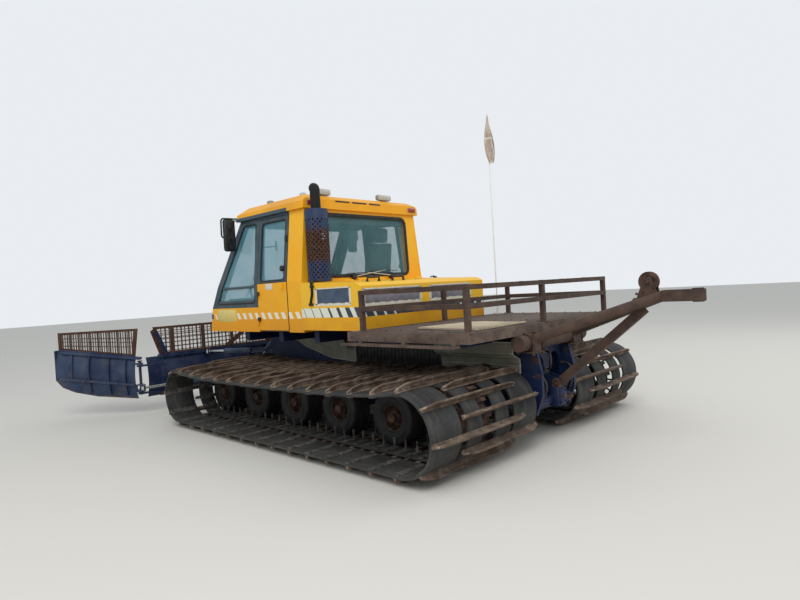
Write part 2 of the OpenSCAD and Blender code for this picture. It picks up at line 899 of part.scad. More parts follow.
module boom() {
  color(rust) {
    bar_y(tube_x, -620, 620, tube_z, tube_r);
    both() tube([tube_x - 24, boom_spread, tube_z + 20], [apex_x + 30, 26, apex_z - 20], 46);
    both()
      box([tube_x - 86, tube_x + 66], [boom_spread - 60 + seat, boom_spread + 62],
          [tube_z - 84, tube_z + tube_r]);
    difference() {
      union() {
        box([boom_end + 60, apex_x + 20], [-60, 60], [apex_z - 70, apex_z + 30]);
        bar_z(boom_end + 60, 0, apex_z - 70, apex_z + 30, 60);
      }
      bar_z(boom_end + 60, 0, apex_z - 71, apex_z + 31, hitch_r);
    }
    for (y = [-36, 36])
      plate_xz(y - 6, y + 6)
        polygon([[sheave_x + 110, apex_z - 60], [sheave_x - 90, apex_z - 20], [sheave_x - 30, sheave_z + 40],
                 [sheave_x + 30, sheave_z + 40]]);
    bar_y(sheave_x, -46, 46, sheave_z, 10);
  }
}

sheave_x = apex_x + 140;
sheave_z = apex_z + 110;
module boom_sheave() {
  color("dimgray")
    translate([sheave_x, 0, sheave_z]) rotate([90, 0, 0])
      rotate_extrude()
        polygon([[10.05, -18], [sheave_r, -18], [sheave_r - 14, 0], [sheave_r, 18], [10.05, 18]]);
}

module boom_strut() {
  color(rust)
    difference() {
      union() {
        beam([strut_x, 0, strut_z], [apex_x + 190, 0, apex_z - 130], 70, 80);
        bar_y(strut_x, -34, 34, strut_z, 46);
      }
      bar_y(strut_x, -36, 36, strut_z, 18 + seat);
    }
}

king_x = 5450;
head_z0 = 380;
head_z1 = 660;
angle_pin_x = 4950;
angle_pin_y = 450;
angle_z = 800;
lift_eye_x = 5220;
lift_eye_z = 620;

module push_frame() {
  color(blue) {
    both() {
      difference() {
        plate_xz(arm_y - 40, arm_y + 40)
          union() {
            polygon([[pivot_x, pivot_z - 60], [5250, 400], [5250, 560], [pivot_x, pivot_z + 60]]);
            translate([pivot_x, pivot_z]) circle(60);
          }
        bar_y(pivot_x, 0, 600, pivot_z, pivot_r + 0.05);
      }
      // Horn of the angle cylinder
      plate_xz(angle_pin_y - 10, angle_pin_y + 10)
        polygon([[4900, 430], [5050, 430], [4990, 740], [4910, 740]]);
      box([4900, 5050], [arm_y, angle_pin_y], [430, 520]);
      box([4900, 5000], [angle_pin_y - 50, angle_pin_y + 50], [732, 757]);
      bar_z(angle_pin_x, angle_pin_y, 756, 840, 20);
      // Ears of the lift cylinder's rod
      for (s = [-1, 1])
        plate_xz(lift_y + s * 40 - 7, lift_y + s * 40 + 7)
          polygon([[lift_eye_x - 60, 500], [lift_eye_x - 45, lift_eye_z + 20], [lift_eye_x + 45, lift_eye_z + 20], [lift_eye_x + 90, 500]]);
    }
    box([5150, 5300], [-arm_y - 40, arm_y + 40], [400, 560]);
    difference() {
      union() {
        box([5290, king_x], [-90, 90], [head_z0, head_z1]);
        bar_z(king_x, 0, head_z0, head_z1, 90);
      }
      bar_z(king_x, 0, head_z0 - 1, head_z1 + 1, 35.05);
    }
  }
}

board_r = 700;
board_t = 22;
board_back = hinge_x - 60;
blade_end = 1540;
ear_t = 24;
ear_r = 45;
ear_z = [290, 690];
hinge_r = 20;
wing_arm = 140;
wing_pin_z = 394;
wing_pin_x = hinge_x - wing_arm * cos(10);
wing_eye_y = hinge_y + wing_arm * sin(10);
wing_base_y = 800;
angle_eye_x = 5620;
angle_eye_y = 800;

// Curved section of a moldboard whose back stands at x, between two heights
module board_section(x, z0, z1) {
  intersection() {
    difference() {
      translate([x + board_r, (blade_z0 + blade_z1) / 2]) circle(board_r, $fn = 96);
      translate([x + board_r, (blade_z0 + blade_z1) / 2]) circle(board_r - board_t, $fn = 96);
    }
    translate([x - 1, z0]) square([160, z1 - z0]);
  }
}

module blade() {
  screen_x = hinge_x - 20;
  mid = (blade_z0 + blade_z1) / 2;
  color(blue) {
    plate_xz(-blade_end, blade_end) board_section(board_back, blade_z0, blade_z1);
    // Flange along the top and ledge along the back
    box([board_back + 6, hinge_x + 30], [-blade_end, blade_end], [790, 840]);
    box([board_back - 40, board_back + 12], [-blade_end + 60, blade_end - 60], [456, 484]);
    both() for (y = [300, 1180, 1500])
      plate_xz(y, y + 16)
        polygon([[board_back - 36, 480], [board_back + 14, 480], [board_back + 30, 795], [board_back + 6, 795]]);
    // Head plates round the king pin
    for (z = [head_z0 - 42, head_z1 + 10])
      difference() {
        translate([0, 0, z]) linear_extrude(32) {
          polygon([[king_x, -90], [board_back + 36, -170], [board_back + 36, 170], [king_x, 90]]);
          translate([king_x, 0]) circle(90);
        }
      }
    bar_z(king_x, 0, head_z0 - 42, head_z1 + 42, 35);
    // Hinge ears, one pair at each end, with the pins
    both() {
      for (z = ear_z)
        translate([0, 0, z]) linear_extrude(ear_t) {
          polygon([[board_back + 8, blade_end - 60], [hinge_x + 10, blade_end - 60],
                   [hinge_x + 40, hinge_y], [hinge_x - 40, hinge_y]]);
          translate([hinge_x, hinge_y]) circle(ear_r);
        }
      bar_z(hinge_x, hinge_y, ear_z[0] - 6, ear_z[1] + 70, hinge_r);
      // Bases of the wing rams and ears of the angle rams
      for (z = [wing_pin_z - 52, wing_pin_z + 40])
        box([wing_pin_x - 36, board_back + 30], [wing_base_y - 40, wing_base_y + 40], [z, z + 12]);
      bar_z(wing_pin_x, wing_base_y, wing_pin_z - 52, wing_pin_z + 52, 18);
      for (z = [angle_z - 48, angle_z + 36])
        box([angle_eye_x - 36, board_back + 50], [angle_eye_y - 40, angle_eye_y + 40], [z, z + 12]);
      // Mast behind the screen and gussets at its ends
      beam([screen_x - 10, 457, 826], [screen_x - 10, 90, 1075], 36, 60);
      plate_yz(screen_x - 10, screen_x)
        polygon([[1430, 826], [1530, 826], [1650, 1190], [1590, screen_z - 20]]);
    }
    box([screen_x - 32, screen_x + 12], [-110, 110], [1050, 1110]);
  }
  color(rust) blade_screen(screen_x);
}

// Posts of the blade's screen, by their distance to the left
SCREEN_POSTS = [-1330, -830, -330, 330, 830, 1330];

// The mesh above the middle of the blade
module blade_screen(x) {
  low = 1450;
  high = 1610;
  cell = 62;
  difference() {
    plate_yz(x - 12, x + 12) polygon([[-low, 836], [low, 836], [high, screen_z], [-high, screen_z]]);
    plate_yz(x - 13, x + 13) polygon([[-low + 20, 866], [low - 20, 866], [high - 46, screen_z - 36], [-high + 46, screen_z - 36]]);
  }
  for (y = [-1440:cell * 2:1441]) box([x - 5, x + 5], [y, y + 12], [850, screen_z - 20]);
  for (y = SCREEN_POSTS) box([x - 15, x + 15], [y - 17, y + 17], [826, screen_z - 10]);
  for (z = [930:70:1140]) {
    reach = 1470 + (z - 930) * (high - low) / (screen_z - 836);
    box([x - 5, x + 5], [-reach, reach], [z, z + 10]);
  }
}

// A wing drawn straight out along Y from its hinge, its front towards X
module wing_body() {
  lift = atan(wing_rise / wing_l);
  edge = [[60, 225], [640, 290], [960, 370], [1120, 455], [wing_l, 560], [wing_l, 832 + wing_rise], [60, 840]];
  color(blue) {
    intersection() {
      rotate([lift, 0, 0]) plate_xz(0, wing_l + 200) board_section(-60, 0, 1000);
      plate_yz(-200, 200) polygon(edge);
    }
    rotate([lift, 0, 0]) {
      box([-92, -50], [120, wing_l - 40], [415, 447]);
      box([-52, 34], [90, wing_l + 40], [790, 826]);
    }
    // End plate and rib
    plate_xz(wing_l - 12, wing_l)
      polygon([[-60, 560], [40, 560], [60, 832 + wing_rise], [-60, 832 + wing_rise]]);
    plate_xz(940, 956)
      polygon([[-90, 560], [-40, 560], [-40, 930], [-60, 930]]);
    // Hinge ears and the arm of the wing ram
    for (z = ear_z)
      difference() {
        translate([0, 0, z + ear_t + 8]) linear_extrude(ear_t) {
          polygon([[-40, 0], [40, 0], [30, 110], [-50, 110]]);
          circle(ear_r);
        }
        bar_z(0, 0, z, z + 90, hinge_r + 0.05);
      }
    for (z = [wing_pin_z - 44, wing_pin_z + 32])
      difference() {
        translate([0, 0, z]) linear_extrude(12)
          rotate(wing_fold) {
            translate([-wing_arm * cos(10), wing_arm * sin(10)]) circle(36);
            polygon([[-wing_arm * cos(10), -12], [0, -45], [60, 10], [10, 80], [-wing_arm * cos(10), 60]]);
          }
        bar_z(0, 0, z - 1, z + 13, hinge_r + 1);
      }
    box([-50, -20], [40, 110], [wing_pin_z - 44, wing_pin_z + 44]);
  }
  color(rust) wing_screen();
}

module wing_screen() {
  x = 0;
  top = screen_z;
  difference() {
    plate_yz(x - 12, x + 12) polygon([[60, 836], [1150, 990], [1150, top], [0, top]]);
    plate_yz(x - 13, x + 13) polygon([[100, 880], [1110, 1026], [1110, top - 34], [60, top - 34]]);
  }
  for (y = [90:40:1090]) box([x - 4, x + 4], [y, y + 10], [846 + (y - 40) * 0.14, top - 20]);
  beam([x, 80, 1050], [x, 1130, 1120], 8, 10);
}

module wing_left() {
  translate([hinge_x, hinge_y, 0]) rotate(-wing_fold) wing_body();
}

module wing_right() {
  mirror([0, 1, 0]) wing_left();
}

// A hydraulic ram's barrel along X from its pin at the origin, the eye's axis along Y
module ram_barrel(l, r, bore, pin, width) {
  difference() {
    union() {
      bar_x(0, l, 0, 0, r);
      bar_y(0, -width / 2, width / 2, 0, r);
    }
    bar_x(40 + pin, l + 1, 0, 0, bore + 0.05);
    bar_y(0, -r * 2, r * 2, 0, pin + 0.05);
  }
}

// The ram's rod, with its eye at the distance to and its inner end l behind
module ram_rod(to, l, r, eye, width) {
  color(steel) bar_x(to - l, to - eye * 0.8, 0, 0, r);
  color("dimgray")
    difference() {
      bar_y(to, -width / 2, width / 2, 0, eye);
      bar_y(to, -width, width, 0, eye * 0.55);
    }
}

// Puts a ram between two pins, its eyes turned for a hinge axis along Z when upright
module between(a, b, upright) {
  dir = b - a;
  translate(a)
    rotate([0, -asin(dir[2] / norm(dir)), atan2(dir[1], dir[0])])
      rotate([upright ? 90 : 0, 0, 0]) children();
}

lift_a = [lift_pin_x, lift_y, lift_pin_z];
lift_b = [lift_eye_x, lift_y, lift_eye_z];
angle_a = [angle_pin_x, angle_pin_y, angle_z];
angle_b = [angle_eye_x, angle_eye_y, angle_z];
wing_a = [wing_pin_x, wing_base_y, wing_pin_z];
wing_b = [wing_pin_x, wing_eye_y, wing_pin_z];
lift_rod_l = 470;
angle_rod_l = 525;
wing_rod_l = 600;

module lift_barrels() {
  color(blue) both() between(lift_a, lift_b, false) ram_barrel(440, 42, 24, lift_pin_r, 50);
}

module lift_rods() {
  both() between(lift_a, lift_b, false) ram_rod(norm(lift_b - lift_a), lift_rod_l, 24, 38, 50);
}

module angle_barrel_left() {
  color(blue) between(angle_a, angle_b, true) ram_barrel(450, 36, 20, 20, 56);
}

module angle_barrel_right() {
  mirror([0, 1, 0]) angle_barrel_left();
}

module angle_rod_left() {
  between(angle_a, angle_b, true) ram_rod(norm(angle_b - angle_a), angle_rod_l, 20, 34, 56);
}

module angle_rod_right() {
  mirror([0, 1, 0]) angle_rod_left();
}

module wing_barrel_left() {
  color(blue) between(wing_a, wing_b, true) ram_barrel(600, 34, 18, 18, 50);
}

module wing_barrel_right() {
  mirror([0, 1, 0]) wing_barrel_left();
}

module wing_rod_left() {
  between(wing_a, wing_b, true) ram_rod(norm(wing_b - wing_a), wing_rod_l, 18, 32, 50);
}

module wing_rod_right() {
  mirror([0, 1, 0]) wing_rod_left();
}

tip_x = hinge_x + wing_l * sin(wing_fold) + 60 * cos(wing_fold);
mid_x = (boom_end + tip_x) / 2;

module place() {
  translate([-mid_x, 0, 0]) children();
}

place() chassis_frame();
place() side_panels();
place() engine_block();
place() track_left();
place() track_right();
place() road_wheels_left();
place() road_wheels_right();
place() sprocket_left();
place() sprocket_right();
place() engine_hood();
place() hood_panels();
place() hood_lid();
place() exhaust_pipe();
place() exhaust_guard();
place() cab_floor();
place() cab_rear_wall();
place() cab_side_left();
place() cab_side_right();
place() cab_nose();
place() window_frame();
place() cab_roof();
place() windscreen();
place() rear_window();
place() side_windows();
place() door_left();
place() door_right();
place() door_glass_left();
place() door_glass_right();
place() seats();
place() dashboard();
place() mirrors();
place() roof_lamps();
place() deck_frame();
place() deck_boards();
place() deck_rails();
place() flag_pole();
place() flag();
place() rear_lift_frame();
place() boom();
place() boom_strut();
place() boom_sheave();
place() push_frame();
place() lift_barrels();
place() lift_rods();
place() blade();
place() wing_left();
place() wing_right();
place() angle_barrel_left();
place() angle_barrel_right();
place() angle_rod_left();
place() angle_rod_right();
place() wing_barrel_left();
place() wing_barrel_right();
place() wing_rod_left();
place() wing_rod_right();
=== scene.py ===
"""Dresses the packed snow groomer: finishes for its steel, rubber, glass and wood, and the fine parts that the
solids leave out. Every measure is a station of the machine in millimetres, counted along X from the rear end of
the tracks, along Y from the middle to the left and along Z from the ground."""

import math

import bpy
import numpy as np
from bpy.props import FloatProperty, FloatVectorProperty, PointerProperty
from mathutils import Matrix


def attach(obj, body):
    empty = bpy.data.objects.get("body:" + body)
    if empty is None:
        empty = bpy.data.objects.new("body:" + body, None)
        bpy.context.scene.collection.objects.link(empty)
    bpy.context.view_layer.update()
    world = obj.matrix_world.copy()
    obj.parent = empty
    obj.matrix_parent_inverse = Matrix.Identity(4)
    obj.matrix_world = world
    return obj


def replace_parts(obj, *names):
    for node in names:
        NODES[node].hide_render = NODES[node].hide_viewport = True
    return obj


bl_info = {
    "name": "Snow groomer finish",
    "version": (1, 0, 0),
    "blender": (4, 5, 0),
    "location": "3D View > Sidebar > Groomer",
    "description": "Finishes and fine parts of a snow groomer with a folding blade and a work deck",
    "category": "Add Mesh",
}

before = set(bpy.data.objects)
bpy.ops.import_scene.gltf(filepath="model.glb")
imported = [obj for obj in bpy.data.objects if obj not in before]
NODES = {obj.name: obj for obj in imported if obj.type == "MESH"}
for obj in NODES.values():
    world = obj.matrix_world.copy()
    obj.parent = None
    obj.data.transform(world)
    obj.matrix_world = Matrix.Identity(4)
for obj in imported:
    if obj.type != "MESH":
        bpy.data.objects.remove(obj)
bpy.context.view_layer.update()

MID_X = 2601.94  # station that lies over the frame's origin
SIDES = ("left", 1), ("right", -1)

# Tracks, as the solids have them
TRACK_OUT, TRACK_MID = 1950, 1185
REAR_X, REAR_Z, REAR_R = 350, 420, 350
FRONT_X, FRONT_Z, FRONT_R = 4309, 394, 324
BAR_H, BELT_T, BELT_SAG = 70, 22, 65
BELTS = ((0, 380), (470, 670), (860, 1060), (1150, 1530))
BARS = ((0, 1290), (410, 1560))
BAR_COUNT = 68
WHEEL_Z, WHEEL_X0, WHEEL_COUNT = 360.3, 1080, 5
AXLE_RUN = FRONT_X - REAR_X
FRONT_ARC, REAR_ARC = math.pi * FRONT_R, math.pi * REAR_R
LOOP = 2 * AXLE_RUN + FRONT_ARC + REAR_ARC

# Cab, hood, deck and blade
CAB_REAR, CAB_HALF, EAVES_HALF, BELT_Z, EAVES_Z = 2700, 1070, 965, 1770, 2640
WS_FOOT, WS_HEAD, WS_Z, NOSE_X = 4870, 4130, 1470, 4945
ROOF_Z = 2815
HOOD_REAR, HOOD_HALF, HOOD_TOP = 1640, 1090, 1745
STACK_X, STACK_Y, GUARD_R, PIPE_R = 2542, 912, 138, 54
DECK_Z, DECK_HALF = 1200, 1330
HINGE_X, HINGE_Y, BOARD_BACK = 5720, 1820, 5660


# Shapes


def station(points):
    """Stations in millimetres as metres in the frame."""
    return (np.asarray(points, float) - [MID_X, 0, 0]) / 1000


def grid_faces(rows, cols, wrap_rows=False, wrap_cols=False):
    """Quads between the neighbours of a grid of points. They face outwards where the columns run anticlockwise
    round the direction in which the rows go. A wrapped grid is joined to its first row or column."""
    i = np.arange(rows if wrap_rows else rows - 1)[:, None]
    j = np.arange(cols if wrap_cols else cols - 1)[None, :]
    up, side = (i + 1) % rows, (j + 1) % cols
    return np.stack([i * cols + j, i * cols + side, up * cols + side, up * cols + j], -1).reshape(-1, 4)


def tube_faces(n, m, closed=False):
    """The skin of n rings of m points each and, where it is open, a flat cap at both ends."""
    caps = [] if closed else [np.arange(m)[None, ::-1], (n - 1) * m + np.arange(m)[None]]
    return [grid_faces(n, m, closed, True)] + caps


def sheet_faces(n, m):
    """Two skins of n by m points, the lower one first, and the rim that joins them."""
    grid, count = np.arange(n * m).reshape(n, m), n * m
    rim = np.concatenate([grid[:-1, 0], grid[-1, :-1], grid[:0:-1, -1], grid[0, :0:-1]])
    on = np.roll(rim, -1)
    return [grid_faces(n, m)[:, ::-1], grid_faces(n, m) + count, np.stack([rim, on, on + count, rim + count], -1)]


class Shape:
    """The surfaces of one piece: points in stations and faces, each with the number of its finish."""

    def __init__(self, *surfaces):
        self.points, self.faces, self.count = [], [], 0
        for surface in surfaces:
            self.join(surface)

    def add(self, points, *faces, finish=0):
        points = np.asarray(points, float).reshape(-1, 3)
        self.faces += [(np.asarray(f) + self.count, finish) for f in faces]
        self.points.append(points)
        self.count += len(points)
        return self

    def join(self, surface, finish=0, side=1):
        """Adds a surface, on the machine's other side where side is negative."""
        points, faces = surface if side > 0 else mirrored(surface)
        return self.add(points, *faces, finish=finish)

    def box(self, x, y, z, r=3.0, side=1):
        """Adds a box with rounded edges."""
        return self.join(block(x, y, z, r), side=side)

    def bolts(self, places, out, r=9, h=7):
        """Adds bolt heads that stand out along one direction."""
        return self.join(bolts_at(places, out, r, h))

    def take(self, other):
        """Adds all of another shape."""
        self.faces += [(f + self.count, finish) for f, finish in other.faces]
        self.points += other.points
        self.count += other.count
        return self

    def placed(self, place):
        """The shape with a function applied to its points."""
        self.points = [place(p) for p in self.points]
        return self

    def flipped(self):
        """The shape on the machine's other side."""
        other = Shape()
        other.points = [p * [1, -1, 1] for p in self.points]
        other.faces = [(f[:, ::-1], finish) for f, finish in self.faces]
        other.count = self.count
        return other


def moved(surface, turn=None, by=(0, 0, 0)):
    """A surface turned by a 3 x 3 matrix about the origin and then moved."""
    points, faces = surface
    points = points @ np.asarray(turn).T if turn is not None else points
    return points + np.asarray(by, float), faces


def mirrored(surface):
    """A surface on the machine's other side: Y changes sign and every face is wound the other way."""
    points, faces = surface
    return points * [1, -1, 1], [np.asarray(f)[:, ::-1] for f in faces]


def turn_about(axis, degrees):
    """The matrix that turns a point about a unit axis: Rodrigues' formula."""
    x, y, z = axis
    a = math.radians(degrees)
    k = np.array([[0, -z, y], [z, 0, -x], [-y, x, 0]])
    return np.eye(3) + math.sin(a) * k + (1 - math.cos(a)) * k @ k


def copies(surface, turns, places):
    """One surface at many places: each point is turned by the k-th matrix and moved to the k-th place."""
    points, faces = surface
    all_points = np.einsum("kij,nj->kni", turns, points) + np.asarray(places, float)[:, None, :]
    step = np.arange(len(places))[:, None, None] * len(points)
    return all_points.reshape(-1, 3), [(np.asarray(f)[None] + step).reshape(-1, np.shape(f)[1]) for f in faces]


def carried(path, profile, up=(0, 0, 1), closed=False, scale=1.0):
    """A profile carried along a path. At each point of the path, the profile's first number goes to the side and
    its second up, square to the path; scale stretches both there. An open path ends in flat caps."""
    path, profile = np.asarray(path, float), np.asarray(profile, float)
    n, m = len(path), len(profile)
    ahead = np.roll(path, -1, 0) - np.roll(path, 1, 0) if closed else np.gradient(path, axis=0)
    ahead /= np.linalg.norm(ahead, axis=1, keepdims=True)
    side = np.cross(np.broadcast_to(np.asarray(up, float), ahead.shape), ahead)
    side /= np.linalg.norm(side, axis=1, keepdims=True)
    top = np.cross(ahead, side)
    size = np.broadcast_to(scale, n)[:, None, None]
    points = path[:, None] + size * (profile[None, :, :1] * side[:, None] + profile[None, :, 1:] * top[:, None])
    return points.reshape(-1, 3), tube_faces(n, m, closed)


def circle(r, n=12):
    """Points on a circle, anticlockwise."""
    a = np.arange(n) * 2 * math.pi / n
    return np.stack([r * np.cos(a), r * np.sin(a)], -1)


def stacked(flat, height):
    """Points of flat rings, each put at its height."""
    height = np.broadcast_to(np.reshape(height, (-1, 1, 1)), flat.shape[:2] + (1,))
    return np.concatenate([flat, height], -1).reshape(-1, 3)


def rounded(w, h, r, n=4):
    """Points on a rectangle with rounded corners, anticlockwise: a quarter circle at each corner."""
    a = np.concatenate([np.linspace(q, q + math.pi / 2, n) for q in np.arange(4) * math.pi / 2])
    corner = np.repeat([[1, 1], [-1, 1], [-1, -1], [1, -1]], n, 0) * [w / 2 - r, h / 2 - r]
    return corner + r * np.stack([np.cos(a), np.sin(a)], -1)


def block(x, y, z, r=3.0):
    """A box between two corners, with rounded edges: rounded rectangles stacked in Z, which shrink at both ends
    along a quarter circle."""
    (x0, x1), (y0, y1), (z0, z1) = x, y, z
    r = min(r, (x1 - x0) / 2.01, (y1 - y0) / 2.01, (z1 - z0) / 2.01)
    a = np.linspace(0, math.pi / 2, 3)
    inset = r * (1 - np.concatenate([np.sin(a), np.sin(a)[::-1]]))
    height = np.concatenate([z0 + r * (1 - np.cos(a)), z1 - r * (1 - np.cos(a))[::-1]])
    ring = rounded(x1 - x0, y1 - y0, r, 3)
    shrink = np.sign(ring) * np.minimum(np.abs(ring), inset[:, None, None])
    return stacked(ring[None] - shrink + [(x0 + x1) / 2, (y0 + y1) / 2], height), tube_faces(len(height), len(ring))


def rod(a, b, r, n=10):
    """A round bar between two points."""
    a, b = np.asarray(a, float), np.asarray(b, float)
    up = (0, 0, 1) if abs((b - a)[2]) < 0.9 * np.linalg.norm(b - a) else (1, 0, 0)
    return carried([a, b], circle(r, n), up)


def turned(profile, n=32):
    """A profile of (radius, height), listed upwards on its outer side, turned about the Z axis."""
    profile = np.asarray(profile, float)
    flat = profile[None, :, 0, None] * circle(1, n)[:, None]
    high = np.broadcast_to(profile[None, :, 1, None], flat.shape[:2] + (1,))
    points = np.concatenate([flat, high], -1).reshape(-1, 3)
    return points, [grid_faces(n, len(profile), True, True)[:, ::-1]]


def bolt(r=9, h=7):
    """A hexagonal bolt head on Z = 0."""
    ring = circle(r, 6)
    return stacked(np.stack([ring, ring * 0.94]), [0, h]), [grid_faces(2, 6, False, True), 6 + np.arange(6)[None]]


def bolts_at(places, out, r=9, h=7):
    """Bolt heads at a list of places, all standing out along one direction."""
    out = np.asarray(out, float) / np.linalg.norm(out)
    side = np.cross(out, (0, 1, 0) if abs(out[1]) < 0.9 else (1, 0, 0))
    side /= np.linalg.norm(side)
    turn = np.column_stack([side, np.cross(out, side), out])
    return copies(bolt(r, h), np.broadcast_to(turn, (len(places), 3, 3)), places)


def points_of(mesh):
    """A mesh's own points, one row each."""
    co = np.empty(len(mesh.vertices) * 3)
    mesh.vertices.foreach_get("co", co)
    return co.reshape(-1, 3)


def arc_path(corners, r, n=5, closed=False):
    """A path through corners, each one rounded by an arc of radius r: a quadratic curve between the two points
    where the arc touches its legs. A closed path rounds its first and last corner too."""
    corners = np.asarray(corners, float)
    before, after = np.roll(corners, 1, 0), np.roll(corners, -1, 0)
    inner = slice(None) if closed else slice(1, -1)
    points = [] if closed else [corners[0]]
    for a, b, c in zip(before[inner], corners[inner], after[inner]):
        back, on = a - b, c - b
        cut = min(r, np.linalg.norm(back) * 0.49, np.linalg.norm(on) * 0.49)
        p, q = b + back / np.linalg.norm(back) * cut, b + on / np.linalg.norm(on) * cut
        t = np.linspace(0, 1, n)[:, None]
        points.extend((1 - t) ** 2 * p + 2 * t * (1 - t) * b + t**2 * q)
    return np.array(points if closed else points + [corners[-1]])


def spaced(path, n):
    """n points spaced evenly along a path, by its length."""
    path = np.asarray(path, float)
    run = np.concatenate([[0], np.cumsum(np.linalg.norm(np.diff(path, axis=0), axis=1))])
    at = np.linspace(0, run[-1], n)
    return np.column_stack([np.interp(at, run, c) for c in path.T])


def piece(name, shape, finishes, body="machine", smooth=40):
    """Makes a mesh object from a Shape, gives it its finishes and lets it ride on a body. Edges sharper than
    smooth degrees stay sharp."""
    mesh = bpy.data.meshes.new(name)
    points = station(np.vstack(shape.points))
    counts = np.concatenate([np.full(len(f), f.shape[1]) for f, _ in shape.faces])
    corners = np.concatenate([f.ravel() for f, _ in shape.faces])
    number = np.concatenate([np.full(len(f), k) for f, k in shape.faces])
    for part, count, key, values in (
        (mesh.vertices, len(points), "co", points.ravel().astype(np.float32)),
        (mesh.loops, len(corners), "vertex_index", corners.astype(np.int32)),
        (mesh.polygons, len(counts), "loop_start", (np.cumsum(counts) - counts).astype(np.int32)),
    ):
        part.add(count)
        part.foreach_set(key, values)
    mesh.polygons.foreach_set("material_index", number.astype(np.int32))
    mesh.update(calc_edges=True)
    mesh.validate()
    mesh.polygons.foreach_set("use_smooth", np.ones(len(mesh.polygons), bool))
    mesh.set_sharp_from_angle(angle=math.radians(smooth))
    for finish in (finishes,) if isinstance(finishes, str) else finishes:
        mesh.materials.append(F[finish])
    thing = bpy.data.objects.new(name, mesh)
    bpy.context.scene.collection.objects.link(thing)
    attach(thing, body)
    return thing


# Shapes of the running gear


def top_z(t):
    """Height of the track's outer face on its upper run, t from 0 over the front wheel to 1 over the sprocket: a
    straight line between the two ends that sags flatly between them."""
    return 2 * (FRONT_R + (REAR_R - FRONT_R) * t) + BAR_H - BELT_SAG * (1 - (2 * t - 1) ** 4)


def on_loop(s):
    """Places on a track's outer face, s millimetres along it from below the sprocket: along the ground, round the
    front, back along the sagging top and round the rear. Gives X, Z and the angle of the outward direction."""
    s = np.asarray(s, float) % LOOP
    a = (s - AXLE_RUN) / FRONT_R - math.pi / 2
    t = (s - AXLE_RUN - FRONT_ARC) / AXLE_RUN
    b = (s - 2 * AXLE_RUN - FRONT_ARC) / REAR_R + math.pi / 2
    rise = (top_z(t + 1e-4) - top_z(t - 1e-4)) / (2e-4 * AXLE_RUN)
    part = [s < AXLE_RUN, s < AXLE_RUN + FRONT_ARC, s < 2 * AXLE_RUN + FRONT_ARC]
    runs = [REAR_X + s, FRONT_X + FRONT_R * np.cos(a), FRONT_X - AXLE_RUN * t]
    x = np.select(part, runs, REAR_X + REAR_R * np.cos(b))
    z = np.select(part, [BAR_H + 0 * s, FRONT_Z + FRONT_R * np.sin(a), top_z(t)], REAR_Z + REAR_R * np.sin(b))
    out = np.select(part, [0 * s - math.pi / 2, a, math.pi / 2 - np.arctan(rise)], b)
    return x, z, out


def loop_places(s):
    """Turns and places that put a shape on the loop: its X runs along the track, its Y from the track's outer edge
    inwards and its Z outwards."""
    x, z, out = on_loop(s)
    zero, one = 0 * x, 1 + 0 * x
    turns = np.stack([-np.sin(out), zero, np.cos(out), zero, -one, zero, np.cos(out), zero, np.sin(out)], -1)
    return turns.reshape(-1, 3, 3).swapaxes(1, 2), np.stack([x, TRACK_OUT * one, z], -1)


def plain_box(x, y, z):
    """A sharp box between two corners."""
    points = np.array([(a, b, c) for c in z for b in y for a in x], float)
    faces = [[0, 2, 3, 1], [4, 5, 7, 6], [0, 1, 5, 4], [2, 6, 7, 3], [0, 4, 6, 2], [1, 3, 7, 5]]
    return points, [np.array(faces)]


# Half of a crossbar's section from its top down one side: (along the track, height)
BAR_SECTION = ((5, 70), (9, 66), (10, 52), (5, 45), (5, 12), (20, 6), (20, 0))
# How high the bar stands near its ends: (distance from the end, share of the height)
BAR_ENDS = ((0, 0.3), (7, 0.4), (46, 0.62), (104, 0.86), (164, 1.0))


def crossbar(start, end):
    """One crossbar from start to end: an I-shaped section whose height falls to both ends. Gives the surface of the
    ends, which are worn pale and partly a painted highlight, and of the middle apart."""
    section = np.array(BAR_SECTION + tuple((-u, w) for u, w in BAR_SECTION[::-1]), float)
    near = np.array(BAR_ENDS)
    v = np.concatenate([start + near[:, 0], end - near[::-1, 0]])
    share = np.concatenate([near[:, 1], near[::-1, 1]])
    points = np.empty((len(v), len(section), 3))
    points[..., 0] = section[:, 0]
    points[..., 1] = v[:, None]
    points[..., 2] = section[:, 1] * share[:, None]
    n, m = len(v), len(section)
    faces = grid_faces(n, m, False, True).reshape(n - 1, m, 4)
    worn = np.r_[0:2, n - 3 : n - 1]
    # Faces near both ends, which take the pale finish: wear, and partly a painted highlight.
    caps = np.stack([np.arange(m)[::-1], (n - 1) * m + np.arange(m)])
    return points.reshape(-1, 3), [faces[worn].reshape(-1, 4), caps], [faces[2 : n - 3].reshape(-1, 4)]


